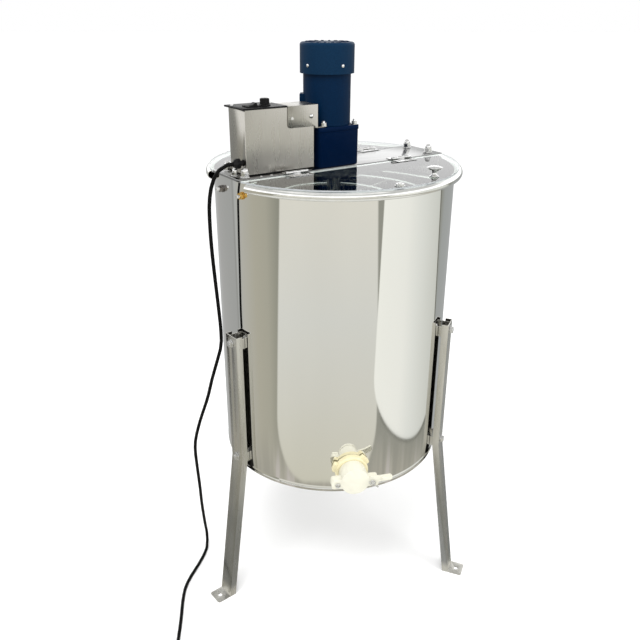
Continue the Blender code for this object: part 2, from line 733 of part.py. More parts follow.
def make_motor(bar):
    """Gearbox, motor housing with its junction box, stator and fan cover."""
    half = GEARBOX_HALF
    lower = shifted(rounded(half, half, 0.006), MOTOR_OFFSET, 0.0)
    upper = shifted(rounded(half + 0.0008, half + 0.0008, 0.006), MOTOR_OFFSET, 0.0)
    hollow = shifted(rounded(half - GEARBOX_WALL, half - GEARBOX_WALL, 0.003), MOTOR_OFFSET, 0.0)
    base = BAR_TOP + GAP
    flange = GEARBOX_TOP - GEARBOX_FLANGE
    gearbox = piece("gearbox_housing", prism(lower, base, flange + 0.002), "navy_paint", bar)
    weld(gearbox, prism(upper, flange, GEARBOX_TOP))
    cut(gearbox, prism(hollow, -0.01, flange), prism(circle(0.007, 16, (MOTOR_OFFSET, 0.0)), 0.05, 0.10))

    low = GEARBOX_TOP + GAP
    inside = MOTOR_RADIUS - 0.005
    profile = [
        (inside, low), (MOTOR_RADIUS, low), (MOTOR_RADIUS, MOTOR_TOP),
        (0.006, MOTOR_TOP), (0.006, MOTOR_TOP - 0.004), (inside, MOTOR_TOP - 0.004),
    ]
    place = (MOTOR_OFFSET, 0.0, 0.0)
    housing = piece("motor_housing", turned(profile, 40), "navy_paint", bar, place)
    box = block((MOTOR_RADIUS - 0.003, MOTOR_RADIUS + 0.0070), (-0.014, 0.014), (0.098, 0.134))
    box.transform(Matrix.Rotation(math.radians(144), 4, "Z"))
    weld(housing, box)

    profile = [(0.0265, 0.097), (inside - GAP, 0.097), (inside - GAP, 0.153), (0.0265, 0.153)]
    piece("stator", turned(profile, 32), "laminations", bar, place)

    skin = COVER_WALL
    profile = [
        (COVER_RADIUS - skin, COVER_BOTTOM),
        (COVER_RADIUS, COVER_BOTTOM),
        (COVER_RADIUS, COVER_TOP - 0.005),
        (COVER_RADIUS - 0.0015, COVER_TOP - 0.0015),
        (COVER_RADIUS - 0.005, COVER_TOP),
        (0.0, COVER_TOP),
        (0.0, COVER_TOP - skin),
        (COVER_RADIUS - 0.0055, COVER_TOP - skin),
        (COVER_RADIUS - skin, COVER_TOP - 0.0055),
    ]
    cover = piece("fan_cover", turned(profile, 40), "navy_paint", bar, place)
    vents = []
    for i in range(8):
        vent = block((0.015, 0.041), (-0.0022, 0.0022), (COVER_TOP - 0.01, COVER_TOP + 0.01))
        vent.transform(Matrix.Rotation(math.radians(45 * i), 4, "Z"))
        vents.append(vent)
    cut(cover, *vents)


def make_gear_train(bar):
    """Rotor with its fan and pinion, the lay gear and the output shaft, each on its own axis."""
    lay_x, lay_y = lay_place()
    from_motor = math.atan2(lay_y, lay_x - MOTOR_OFFSET)
    to_output = math.atan2(-lay_y, -lay_x)
    shaft = [(0.0, 0.046), (0.004, 0.046), (0.004, 0.100), (0.0255, 0.100), (0.0255, 0.150), (0.004, 0.150),
             (0.004, 0.192), (0.011, 0.192), (0.011, 0.206), (0.0, 0.206)]
    rotor = piece("rotor_and_fan", turned(shaft, 20), "cast_iron", bar, (MOTOR_OFFSET, 0.0, 0.0))
    blades = []
    for i in range(6):
        blade = block((0.009, 0.043), (-0.0009, 0.0009), (0.193, 0.212))
        blade.transform(Matrix.Rotation(math.radians(60 * i), 4, "Z"))
        blades.append(blade)
    weld(rotor, prism(gear_outline(SMALL_TEETH, from_motor), *UPPER_GEARS), *blades)

    half_gap = math.pi / LARGE_TEETH
    post = [(0.0, 0.012), (0.0035, 0.012), (0.0035, 0.066), (0.0, 0.066)]
    lay = piece("lay_gear", turned(post, 12), "cast_iron", bar, (lay_x, lay_y, 0.0))
    large = gear_outline(LARGE_TEETH, from_motor + math.pi + half_gap)
    weld(lay, prism(large, *UPPER_GEARS), prism(gear_outline(SMALL_TEETH, to_output), *LOWER_GEARS))

    low = BASKET_TOP + 0.016 - RIM
    post = [(0.0, low), (OUTPUT_RADIUS, low), (OUTPUT_RADIUS, 0.040), (0.0, 0.040)]
    output = piece("output_shaft", turned(post, 16), "cast_iron", bar)
    weld(output, prism(gear_outline(LARGE_TEETH, to_output + math.pi + half_gap), *LOWER_GEARS))


def make_basket(root):
    """The spinning basket; every piece has its origin on the drum's axis."""
    socket = BASKET_TOP + 0.0155
    bore = OUTPUT_RADIUS + GAP
    foot = FLOOR_CENTRE + GAP + 0.004 + GAP
    profile = [
        (0.0, foot), (0.004, foot), (SHAFT_RADIUS, foot + 0.006), (SHAFT_RADIUS, BASKET_TOP + 0.010),
        (0.014, BASKET_TOP + 0.012), (0.014, BASKET_TOP + 0.040), (bore, BASKET_TOP + 0.040), (bore, socket),
        (0.0, socket),
    ]
    piece("basket_shaft", turned(profile, 16), "satin_steel", root)
    make_top_frame(root)
    make_bottom_frame(root)
    make_screens(root)


def hub(height):
    """Profile of the sleeve that holds a frame's spokes on the shaft."""
    bore = SHAFT_RADIUS + GAP
    return [(bore, height - 0.008), (0.017, height - 0.008), (0.017, height + 0.008), (bore, height + 0.008)]


def spokes(height):
    """Four rods from the hub to the corners of the basket."""
    rods = []
    for angle in BASKET_CORNERS:
        start = (0.014 * math.cos(angle), 0.014 * math.sin(angle), height)
        end = (BASKET_RADIUS * math.cos(angle), BASKET_RADIUS * math.sin(angle), height)
        rods.append(rod(start, end, SPOKE_RADIUS))
    return rods


def make_top_frame(root):
    """Hub and spokes, with the outer ring and the combs' guide ring lying on the spokes."""
    height = BASKET_TOP - BASKET_ROD - GAP - SPOKE_RADIUS
    frame_top = piece("basket_top_spokes", turned(hub(height), 16), "satin_steel", root)
    weld(frame_top, *spokes(height))
    piece("basket_top_ring", torus(BASKET_RADIUS, BASKET_ROD, 32, BASKET_TOP), "satin_steel", root)
    piece("basket_guide_ring", torus(BASKET_GUIDE_RADIUS, BASKET_ROD, 28, BASKET_TOP), "satin_steel", root)


def make_bottom_frame(root):
    """Hub, spokes and two rings that the combs stand on, with the posts up to the top spokes."""
    height = BASKET_BOTTOM
    post_top = BASKET_TOP - BASKET_ROD - 2 * GAP - 2 * SPOKE_RADIUS
    posts = []
    for angle in BASKET_CORNERS:
        x = BASKET_RADIUS * math.cos(angle)
        y = BASKET_RADIUS * math.sin(angle)
        posts.append(rod((x, y, height), (x, y, post_top), BASKET_ROD * 0.87))
    frame_bottom = piece("basket_bottom_frame", turned(hub(height), 16), "satin_steel", root)
    weld(
        frame_bottom,
        torus(BASKET_RADIUS, BASKET_ROD, 32, height),
        torus(BASKET_REST_RADIUS, BASKET_ROD, 24, height),
        *spokes(height),
        *posts,
    )


def make_screens(root):
    """Four flat screens that the combs lean on, standing between the outer rings."""
    low = BASKET_BOTTOM + BASKET_ROD + GAP
    high = BASKET_TOP - BASKET_ROD - GAP
    columns, rows, rib = 3, 4, 0.006
    wide = (2 * COMB_HALF_WIDTH - rib * (columns + 1)) / columns
    tall = (high - low - rib * (rows + 1)) / rows
    through = (SCREEN_DISTANCE - 0.01, SCREEN_DISTANCE + 0.01)
    sheet_x = (SCREEN_DISTANCE - SCREEN_SHEET, SCREEN_DISTANCE)
    for i, name in enumerate(("right", "rear", "left", "front")):
        sheet = block(sheet_x, (-COMB_HALF_WIDTH, COMB_HALF_WIDTH), (low, high))
        turn = (0.0, 0.0, math.radians(90 * i))
        screen = piece("basket_screen_" + name, sheet, "satin_steel", root, rotation=turn)
        windows = []
        for column in range(columns):
            y = -COMB_HALF_WIDTH + rib + column * (wide + rib)
            for row in range(rows):
                z = low + rib + row * (tall + rib)
                windows.append(block(through, (y, y + wide), (z, z + tall)))
        cut(screen, *windows)


def make_control_box(bar):
    """Control box with its panel, knob, switch, hood, gland and the lead to the motor."""
    box = piece("control_box", block(BOX_X, BOX_Y, BOX_Z), "satin_steel", bar)
    skin = BOX_SHEET
    inside_x = (BOX_X[0] + skin, BOX_X[1] - skin)
    inside_y = (BOX_Y[0] + skin, BOX_Y[1] - skin)
    window = block((BOX_X[0] + 0.005, PANEL_X[1] - 0.005), (BOX_Y[0] + 0.006, BOX_Y[1] - 0.006), (0.10, 0.13))
    gland_y, gland_z = GLAND_PLACE
    gland_hole = rod((BOX_X[0] - 0.01, gland_y, gland_z), (BOX_X[0] + 0.01, gland_y, gland_z), 0.0062, 16)
    cut(box, block(inside_x, inside_y, (BOX_Z[0] - 0.01, BOX_Z[1] - skin)), window, gland_hole)

    panel_low = BOX_Z[1] + GAP
    panel_high = panel_low + PANEL_SHEET
    panel = piece("control_panel", block(PANEL_X, PANEL_Y, (panel_low, panel_high)), "black_plastic", bar)
    switch_x, switch_y = SWITCH_SPOT
    window = block((switch_x - 0.0098, switch_x + 0.0098), (switch_y - 0.0068, switch_y + 0.0068), (0.1, 0.2))
    weld(panel, block((switch_x - 0.0125, switch_x + 0.0125), (switch_y - 0.0095, switch_y + 0.0095),
                      (panel_low + 0.001, panel_high + 0.0015)))
    cut(panel, window)

    knob = [
        (0.0, GAP), (0.0105, GAP), (0.0100, 0.0030), (0.0085, 0.0040),
        (0.0080, 0.0150), (0.0070, 0.0160), (0.0, 0.0160),
    ]
    piece("speed_knob", turned(knob, 20), "black_plastic", bar, (*KNOB_SPOT, panel_high))

    rocker = [(-0.0090, -0.0060), (0.0090, -0.0060), (0.0090, 0.0035), (0.0, 0.0015), (-0.0090, 0.0035)]
    shape = prism(rocker, -0.0060, 0.0060)
    shape.transform(Matrix.Rotation(math.radians(90), 4, "X"))
    shape.transform(Matrix.Rotation(math.radians(-7), 4, "Y"))
    piece("power_switch", shape, "black_plastic", bar, (switch_x, switch_y, panel_high))
    make_hood(bar, panel_low)
    make_gland(bar)


def make_hood(bar, top):
    """Sheet hood over the box's motor end, with the tab that bolts to the gearbox."""
    front = BOX_Y[0] - GAP
    skin = BOX_SHEET
    low = GEARBOX_TOP + 2 * GAP
    hood = piece("box_hood", block(HOOD_X, (front - skin, HOOD_BACK), (top, top + skin)), "satin_steel", bar)
    corner = 0.006
    left, right = HOOD_X
    edge = low + 0.004
    outline = [(right, edge), (right, top + skin), (left, top + skin), (left, edge + corner)]
    for i in range(1, 4):
        angle = math.radians(180 + 30 * i)
        outline.append((left + corner + corner * math.cos(angle), edge + corner + corner * math.sin(angle)))
    face = prism(outline, 0.0, skin)
    face.transform(Matrix.Translation((0.0, front, 0.0)) @ Matrix.Rotation(math.radians(90), 4, "X"))
    tab_x = (BOX_X[1] + 0.001, HOOD_X[1] + 0.0145)
    weld(
        hood,
        face,
        block((tab_x[0], HOOD_X[1]), (front - skin, front), (low, low + 0.006)),
        block(tab_x, (front - skin, front + 0.0055), (low, low + skin)),
    )


def make_gland(bar):
    """Cable gland in the box's end wall, and the short lead from the motor to the box."""
    wall_in = BOX_SHEET + GAP
    profile = [
        (0.0, wall_in + 0.004), (0.0088, wall_in + 0.004), (0.0088, wall_in), (0.0058, wall_in),
        (0.0058, -GAP), (0.0048, -GAP), (0.0048, -0.0072), (0.0090, -0.0078), (0.0090, -0.0160),
        (0.0074, -0.0182), (0.0054, -0.0196), (0.0044, GLAND_END - BOX_X[0]),
        (0.0, GLAND_END - BOX_X[0]),
    ]
    gland = turned(profile, 16)
    gland.transform(Matrix.Rotation(math.radians(90), 4, "Y"))
    piece("cable_gland", gland, "black_plastic", bar, (BOX_X[0], *GLAND_PLACE))

    entry = (BOX_X[1] + GAP, 0.0160, 0.0880)
    route = [
        (-0.0590, 0.0294, 0.0960), (-0.0590, 0.0294, 0.0935), (-0.0610, 0.0275, 0.0900),
        (-0.0648, 0.0222, 0.0884),
        (entry[0] + 0.004, *entry[1:]),
    ]
    points = [Vector((-0.0590, 0.0294, 0.0976)), *smooth_route(route, 0.004), Vector(entry)]
    tube("motor_lead", points, 0.0026, bar)


def smooth_route(points, step):
    """Points at an even step along a Catmull-Rom curve through the given ones."""
    points = [Vector(point) for point in points]
    padded = [2 * points[0] - points[1]] + points + [2 * points[-1] - points[-2]]
    fine = [points[0]]
    for before, start, end, after in zip(padded, padded[1:], padded[2:], padded[3:]):
        for i in range(1, 41):
            t = i / 40
            fine.append(0.5 * (
                2 * start + (end - before) * t
                + (2 * before - 5 * start + 4 * end - after) * t ** 2
                + (3 * start - before - 3 * end + after) * t ** 3
            ))
    lengths = [0.0]
    for first, second in zip(fine, fine[1:]):
        lengths.append(lengths[-1] + (second - first).length)
    count = max(2, round(lengths[-1] / step))
    result = [fine[0]]
    index = 0
    for i in range(1, count):
        target = lengths[-1] * i / count
        while lengths[index + 1] < target:
            index += 1
        share = (target - lengths[index]) / (lengths[index + 1] - lengths[index])
        result.append(fine[index].lerp(fine[index + 1], share))
    result.append(fine[-1])
    return result


def tube(name, points, radius, parent):
    """A cord along the points."""
    curve = bpy.data.curves.new(name, "CURVE")
    curve.dimensions = "3D"
    curve.bevel_depth = radius
    curve.bevel_resolution = 2
    curve.use_fill_caps = True
    spline = curve.splines.new("POLY")
    spline.points.add(len(points) - 1)
    for target, point in zip(spline.points, points):
        target.co = (*point, 1.0)
    made = bpy.data.objects.new(name, curve)
    bpy.context.collection.objects.link(made)
    made.parent = parent
    curve.materials.append(material("black_rubber"))


def make_power_cord(root, bar):
    """Cord from the gland to the floor and along it, its coil, and the plug beside the coil."""
    gland_y, gland_z = GLAND_PLACE
    exit_point = to_root(bar, (GLAND_END - GAP, gland_y, gland_z))
    straight = to_root(bar, (GLAND_END - 0.011, gland_y, gland_z))
    coil_x, coil_y = COIL_CENTRE
    route = [
        straight,
        (-0.2255, -0.1350, 0.9590), (-0.2349, -0.1302, 0.9468), (-0.2433, -0.1225, 0.9259),
        (-0.2492, -0.1129, 0.8909), (-0.2505, -0.1102, 0.8450), (-0.2496, -0.1085, 0.7959),
        (-0.2467, -0.1080, 0.7373), (-0.2435, -0.1071, 0.6786), (-0.2418, -0.1076, 0.6367),
        (-0.2432, -0.1078, 0.6015), (-0.2532, -0.1034, 0.5639), (-0.2659, -0.0944, 0.5182),
        (-0.2775, -0.0847, 0.4705), (-0.2961, -0.0729, 0.4114), (-0.3090, -0.0631, 0.3608),
        (-0.3128, -0.0561, 0.3250), (-0.3121, -0.0426, 0.2673), (-0.3105, -0.0292, 0.2100),
        (-0.3100, -0.0118, 0.1479), (-0.3080, 0.0050, 0.0860), (-0.3060, 0.0165, 0.0480),
        (-0.3050, 0.0185, 0.0357), (-0.3045, 0.0142, 0.0197), (-0.3055, 0.0025, 0.0080),
        (-0.3085, -0.0135, CORD_REST), (-0.3180, -0.0400, CORD_REST), (-0.3300, -0.0670, CORD_REST),
        (-0.3440, -0.0960, CORD_REST), (-0.3560, -0.1300, CORD_REST), (-0.3612, -0.1700, CORD_REST),
        (-0.3632, -0.2120, CORD_REST), (-0.3660, -0.2500, CORD_REST), (-0.3690, -0.2850, CORD_REST),
        (coil_x - COIL_RADIUS, coil_y + 0.0245, CORD_REST),
    ]
    tube("power_cord", [Vector(exit_point)] + smooth_route(route, CORD_STEP), CORD_RADIUS, root)

    inner = COIL_RADIUS - CORD_RADIUS
    outer = COIL_RADIUS + CORD_RADIUS
    low = CORD_REST - CORD_RADIUS
    high = low + 4 * CORD_RADIUS
    ring = [(inner, low), (outer, low), (outer, high), (inner, high)]
    piece("power_cord_coil", turned(ring, 28), "black_rubber", root, (coil_x, coil_y, 0.0))
    make_plug(root, (coil_x, coil_y - COIL_RADIUS, CORD_REST + 2 * CORD_RADIUS))


def make_plug(root, place):
    """Moulded plug lying beside the coil, drawn with its cord entry on X and its blades at +X."""
    start = 0.0270
    profile = [
        (0.0, start), (0.0045, start), (0.0058, start + 0.016), (0.0068, start + 0.020), (0.0, start + 0.020),
    ]
    relief = turned(profile, 12)
    relief.transform(Matrix.Rotation(math.radians(90), 4, "Y"))
    plug = piece("power_plug", relief, "black_rubber", root, place)
    middle = start + 0.018
    end = middle + 0.026
    half_height = 0.0102
    body = prism([
        (middle, -0.0070), (middle + 0.008, -0.0120), (end - 0.002, -0.0135), (end, -0.0125),
        (end, 0.0125), (end - 0.002, 0.0135), (middle + 0.008, 0.0120), (middle, 0.0070),
    ], -half_height, half_height)
    blades = [
        block((end - 0.002, end + 0.016), (-0.0072, -0.0056), (-0.0002, 0.0062)),
        block((end - 0.002, end + 0.016), (0.0056, 0.0072), (-0.0002, 0.0062)),
        rod((end - 0.002, 0.0, -0.0060), (end + 0.019, 0.0, -0.0060), 0.0024, 10),
    ]
    weld(plug, body, *blades)


def to_root(bar, point):
    """A point of the bar's frame, seen from the drum's frame."""
    return tuple(bar.matrix_basis @ Vector(point))


def build():
    clear_scene()
    root = frame("extractor", (0.0, AXIS_Y, 0.0))
    bar = frame("bar_frame", (0.0, 0.0, RIM), (0.0, 0.0, BAR_AZIMUTH), root)
    gate = frame("gate_frame", (0.0, 0.0, GATE_HEIGHT), (math.radians(90), 0.0, 0.0), root)
    make_drum(root)
    make_legs(root)
    make_crossbar(bar)
    make_lids(bar)
    make_gate(gate)
    make_motor(bar)
    make_gear_train(bar)
    make_basket(root)
    make_control_box(bar)
    make_power_cord(root, bar)


build()
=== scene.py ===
"""Looks of the electric honey extractor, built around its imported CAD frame."""
import json
import math

import bmesh
import bpy
from mathutils import Matrix, Vector

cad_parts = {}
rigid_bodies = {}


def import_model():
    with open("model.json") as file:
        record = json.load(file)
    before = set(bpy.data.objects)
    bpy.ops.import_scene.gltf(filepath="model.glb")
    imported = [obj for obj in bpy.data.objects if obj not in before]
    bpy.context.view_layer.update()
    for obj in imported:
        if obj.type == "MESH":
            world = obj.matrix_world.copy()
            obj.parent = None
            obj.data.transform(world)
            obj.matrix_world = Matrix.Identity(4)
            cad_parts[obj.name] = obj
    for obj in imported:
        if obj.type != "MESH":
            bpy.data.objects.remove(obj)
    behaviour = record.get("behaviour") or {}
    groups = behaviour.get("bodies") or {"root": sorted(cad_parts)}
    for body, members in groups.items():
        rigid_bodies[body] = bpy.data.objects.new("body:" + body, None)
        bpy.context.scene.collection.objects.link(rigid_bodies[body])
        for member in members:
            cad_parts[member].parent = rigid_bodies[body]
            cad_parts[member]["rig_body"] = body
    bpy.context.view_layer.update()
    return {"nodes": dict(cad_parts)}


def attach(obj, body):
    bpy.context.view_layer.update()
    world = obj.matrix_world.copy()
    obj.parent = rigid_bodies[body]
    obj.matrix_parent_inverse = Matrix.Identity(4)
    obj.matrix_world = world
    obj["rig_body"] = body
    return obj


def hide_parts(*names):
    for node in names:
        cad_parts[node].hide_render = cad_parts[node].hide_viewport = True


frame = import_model()

# Dimensions in metres: heights on the bar are above the rim, the cord's points are in the drum's frame
AXIS_Y = -0.0215
RIM = 0.936
RADIUS = 0.2375
WALL = 0.0012
BEAD = 0.008
BAR_AZIMUTH = math.radians(25.2)
NOTCH_HALF_ANGLE = math.radians(16.4)
LID_LOW = 0.0003
LID_TOP = 0.0033
BAR_TOP = 0.0047
LEGS = (("left", -150), ("right", -30), ("rear", 90))
LEG_BOLTS = (("upper", 0.615), ("lower", 0.351))
MOTOR = -0.0185
GATE_HEIGHT = 0.373
CORD_RADIUS = 0.0035
CORD_REST = 0.0037
COIL_RADIUS = 0.042
COIL_CENTRE = (-0.328, -0.352)
GLAND = (-0.238, -0.0265, 0.028)

# Light: reflection strength of the lids, brightness of the ceiling, the even light and the floor
LID_SHEEN = 1.1
SKY = 1.5
EVEN_LIGHT = 1.07
FLOOR_WHITE = 0.96

RIGHT_ANGLE = math.radians(90)

ROOT = Matrix.Translation((0.0, AXIS_Y, 0.0))
BAR = Matrix.Translation((0.0, AXIS_Y, RIM)) @ Matrix.Rotation(BAR_AZIMUTH, 4, "Z")
MOTOR_AXIS = BAR @ Matrix.Translation((MOTOR, 0.0, 0.0))
ON_END = Matrix.Rotation(RIGHT_ANGLE, 4, "Y")
FACING_FRONT = Matrix.Rotation(RIGHT_ANGLE, 4, "X")


# ---------------------------------------------------------------- camera

def make_camera():
    """The main view, from the front and a little above the rim."""
    data = bpy.data.cameras.new("camera")
    data.lens = 39.465
    data.sensor_width = 36.0
    data.clip_start = 0.05
    camera = bpy.data.objects.new("camera", data)
    bpy.context.scene.collection.objects.link(camera)
    azimuth, pitch, roll = math.radians(81.08), math.radians(-23.98), math.radians(0.26)
    turn = Matrix.Rotation(azimuth - math.pi / 2, 4, "Z") @ Matrix.Rotation(math.pi / 2 + pitch, 4, "X")
    place = Matrix.Translation((-0.2434, -1.3806 + AXIS_Y, 1.2176))
    camera.matrix_world = place @ turn @ Matrix.Rotation(roll, 4, "Z")
    bpy.context.scene.camera = camera


# ---------------------------------------------------------------- materials

# Grain sizes, as noise cycles per metre along each axis
BRUSHED = (60.0, 60.0, 9.0)
EVEN_GRAIN = (120.0, 120.0, 120.0)
MOULDED = (90.0, 90.0, 90.0)
SMALL_PARTS = (300.0, 300.0, 300.0)
PAINTED = (420.0, 420.0, 420.0)

# Dark and light colour, roughness, metallic, grain, bump, and where they differ its depth and detail
FINISHES = {
    "drum_steel": ((0.81, 0.81, 0.795), (0.85, 0.85, 0.835), (0.03, 0.045), 1.0, (7.0, 7.0, 1.4),
                   0.012, 0.002, 2.0),
    "bead_steel": ((0.78, 0.78, 0.76), (0.90, 0.90, 0.88), (0.10, 0.18), 1.0, (40.0, 40.0, 90.0),
                   0.04, 0.0004),
    "bar_steel": ((0.36, 0.36, 0.36), (0.43, 0.43, 0.425), (0.12, 0.20), 1.0, (14.0, 14.0, 14.0),
                  0.03, 0.001, 3.0),
    "box_steel": ((0.435, 0.42, 0.385), (0.465, 0.45, 0.412), (0.25, 0.30), 1.0, BRUSHED, 0.0),
    "satin_steel": ((0.50, 0.49, 0.455), (0.62, 0.61, 0.57), (0.20, 0.34), 1.0, BRUSHED, 0.04, 0.0004),
    "leg_steel": ((0.54, 0.53, 0.49), (0.66, 0.65, 0.61), (0.20, 0.34), 1.0, BRUSHED, 0.04, 0.0004),
    # painted shade: near-black steel for the faces inside the leg channels
    "leg_channel_painted_shade": ((0.035, 0.034, 0.031), (0.055, 0.053, 0.049), (0.40, 0.55), 1.0, BRUSHED, 0.04, 0.0004),
    "fastener_steel": ((0.62, 0.62, 0.62), (0.84, 0.84, 0.83), (0.12, 0.24), 1.0, SMALL_PARTS, 0.05, 0.0002),
    "dark_steel": ((0.16, 0.15, 0.14), (0.26, 0.245, 0.235), (0.22, 0.34), 1.0, SMALL_PARTS, 0.05, 0.0002),
    "brass": ((0.62, 0.36, 0.08), (0.86, 0.56, 0.16), (0.14, 0.26), 1.0, SMALL_PARTS, 0.05, 0.0002),
    "motor_paint": ((0.0003, 0.0098, 0.0320), (0.0005, 0.0122, 0.0380), (0.38, 0.50), 0.0, PAINTED,
                    0.08, 0.0003, 2.0),
    "cover_paint": ((0.0012, 0.0150, 0.0400), (0.0020, 0.0185, 0.0470), (0.38, 0.50), 0.0, PAINTED,
                    0.08, 0.0003, 2.0),
    "gearbox_paint": ((0.0001, 0.0062, 0.0275), (0.0003, 0.0078, 0.0325), (0.36, 0.48), 0.0, PAINTED,
                      0.06, 0.0003, 2.0),
    "cream_plastic": ((0.63, 0.615, 0.51), (0.67, 0.655, 0.55), (0.36, 0.46), 0.0, MOULDED, 0.04, 0.0004),
    "yellow_plastic": ((0.66, 0.60, 0.375), (0.72, 0.66, 0.43), (0.38, 0.50), 0.0, MOULDED, 0.05, 0.0004),
    "black_plastic": ((0.0035, 0.0035, 0.0037), (0.0080, 0.0080, 0.0083), (0.34, 0.48), 0.0,
                      (500.0, 500.0, 500.0), 0.10, 0.0002),
    "cord_rubber": ((0.0020, 0.0020, 0.0020), (0.0045, 0.0045, 0.0045), (0.42, 0.56), 0.0,
                    (220.0, 220.0, 220.0), 0.06, 0.0003),
    "gear_steel": ((0.20, 0.20, 0.20), (0.32, 0.32, 0.31), (0.28, 0.42), 1.0, EVEN_GRAIN, 0.06, 0.0003),
    "stator_core": ((0.24, 0.13, 0.07), (0.42, 0.26, 0.15), (0.40, 0.55), 0.7, (30.0, 30.0, 900.0),
                    0.10, 0.0004),
    # painted light on the lids' sawn edges: a highlight on the straight edge, a grey reflection on the curved
    # one
    "lid_edge_painted_highlight": ((0.78, 0.79, 0.78), (0.86, 0.87, 0.86), (0.25, 0.40), 0.0, EVEN_GRAIN, 0.04, 0.0003),
    "lid_rim_painted_reflection": ((0.34, 0.36, 0.37), (0.40, 0.42, 0.43), (0.25, 0.40), 0.0, EVEN_GRAIN, 0.04, 0.0003),
    "ring_steel": ((0.86, 0.86, 0.85), (0.95, 0.95, 0.94), (0.10, 0.18), 1.0, (60.0, 60.0, 60.0),
                   0.03, 0.0003),
}

SPECULAR = {"motor_paint": 0.06, "cover_paint": 0.08, "gearbox_paint": 0.05, "black_plastic": 0.14,
            "cord_rubber": 0.07}

# Painted shade on the legs: colours multiplied in by height, darker from just above the feet to about 0.28 m
LEG_SHADE_TOP = 0.6
LEG_SHADE = [
    (0.0, (1.0, 1.0, 1.0)), (0.012, (1.0, 1.0, 1.0)), (0.03, (0.54, 0.56, 0.60)), (0.20, (0.55, 0.57, 0.60)),
    (0.28, (0.76, 0.77, 0.78)), (0.35, (1.0, 1.0, 1.0))]


def new_material(name):
    """A material with its nodes, its links and its shader."""
    made = bpy.data.materials.new(name)
    made.use_nodes = True
    nodes = made.node_tree.nodes
    return made, nodes, made.node_tree.links, nodes["Principled BSDF"]


def finish(name, dark, light, rough, metallic, grain, bump, distance=0.0005, detail=4.0):
    """Noise between two colours and two roughnesses, with a fine bump of the same grain."""
    made, nodes, links, shader = new_material(name)
    place = nodes.new("ShaderNodeTexCoord")
    scale = nodes.new("ShaderNodeMapping")
    scale.inputs["Scale"].default_value = grain
    noise = nodes.new("ShaderNodeTexNoise")
    noise.inputs["Scale"].default_value = 1.0
    noise.inputs["Detail"].default_value = detail
    links.new(place.outputs["Object"], scale.inputs["Vector"])
    links.new(scale.outputs["Vector"], noise.inputs["Vector"])
    ramp = nodes.new("ShaderNodeValToRGB")
    ramp.color_ramp.elements[0].position = 0.32
    ramp.color_ramp.elements[0].color = (*dark, 1.0)
    ramp.color_ramp.elements[1].position = 0.68
    ramp.color_ramp.elements[1].color = (*light, 1.0)
    links.new(noise.outputs["Fac"], ramp.inputs["Fac"])
    links.new(ramp.outputs["Color"], shader.inputs["Base Color"])
    spread = nodes.new("ShaderNodeMapRange")
    spread.inputs["From Min"].default_value = 0.3
    spread.inputs["From Max"].default_value = 0.7
    spread.inputs["To Min"].default_value = rough[0]
    spread.inputs["To Max"].default_value = rough[1]
    links.new(noise.outputs["Fac"], spread.inputs["Value"])
    links.new(spread.outputs["Result"], shader.inputs["Roughness"])
    if bump:
        relief = nodes.new("ShaderNodeBump")
        relief.inputs["Strength"].default_value = bump
        relief.inputs["Distance"].default_value = distance
        links.new(noise.outputs["Fac"], relief.inputs["Height"])
        links.new(relief.outputs["Normal"], shader.inputs["Normal"])
    shader.inputs["Metallic"].default_value = metallic
    return made


def make_materials():
    """All finishes by name."""
    made = {name: finish(name, *values) for name, values in FINISHES.items()}
    for name, level in SPECULAR.items():
        made[name].node_tree.nodes["Principled BSDF"].inputs["Specular IOR Level"].default_value = level
    # painted shade on the legs, darker lower down
    shade_by_height(made["leg_steel"], LEG_SHADE)
    made["lid_acrylic"] = make_acrylic()
    return made


def shade_by_height(material, stops):
    """Painted shade: a metal finish multiplied by colours along the height."""
    tree = material.node_tree
    target = tree.nodes["Principled BSDF"].inputs["Base Color"]
    plain = target.links[0].from_socket
    place = tree.nodes.new("ShaderNodeTexCoord")
    split = tree.nodes.new("ShaderNodeSeparateXYZ")
    tree.links.new(place.outputs["Object"], split.inputs[0])
    blend = tree.nodes.new("ShaderNodeMix")
    blend.data_type = "RGBA"
    blend.blend_type = "MULTIPLY"
    blend.inputs["Factor"].default_value = 1.0
    tree.links.new(plain, blend.inputs["A"])
    tree.links.new(ramp_node(tree, split.outputs["Z"], 0.0, LEG_SHADE_TOP, stops), blend.inputs["B"])
    tree.links.new(blend.outputs["Result"], target)


def make_acrylic():
    """Clear acrylic sheet: grey-green tint and polished upper faces, with fine wiping marks."""
    made, nodes, links, shader = new_material("lid_acrylic")
    nodes.remove(shader)
    place = nodes.new("ShaderNodeTexCoord")
    noise = nodes.new("ShaderNodeTexNoise")
    noise.inputs["Scale"].default_value = 18.0
    links.new(place.outputs["Object"], noise.inputs["Vector"])
    ramp = nodes.new("ShaderNodeValToRGB")
    ramp.color_ramp.elements[0].color = (0.895, 0.930, 0.915, 1.0)
    ramp.color_ramp.elements[1].color = (0.930, 0.955, 0.940, 1.0)
    links.new(noise.outputs["Fac"], ramp.inputs["Fac"])
    clear = nodes.new("ShaderNodeBsdfTransparent")
    links.new(ramp.outputs["Color"], clear.inputs["Color"])
    gloss = nodes.new("ShaderNodeBsdfGlossy")
    gloss.inputs["Roughness"].default_value = 0.03
    gloss.inputs["Color"].default_value = (1.0, 1.0, 1.0, 1.0)
    fresnel = nodes.new("ShaderNodeFresnel")
    fresnel.inputs["IOR"].default_value = 1.5
    side = nodes.new("ShaderNodeNewGeometry")
    front = math_node(made.node_tree, "SUBTRACT", 1.0, side.outputs["Backfacing"])
    strong = math_node(made.node_tree, "MULTIPLY", fresnel.outputs[0], LID_SHEEN)
    share = math_node(made.node_tree, "MINIMUM", math_node(made.node_tree, "MULTIPLY", strong, front), 1.0)
    blend = nodes.new("ShaderNodeMixShader")
    links.new(share, blend.inputs["Fac"])
    links.new(clear.outputs[0], blend.inputs[1])
    links.new(gloss.outputs[0], blend.inputs[2])
    links.new(blend.outputs[0], nodes["Material Output"].inputs["Surface"])
    return made


# ---------------------------------------------------------------- shapes

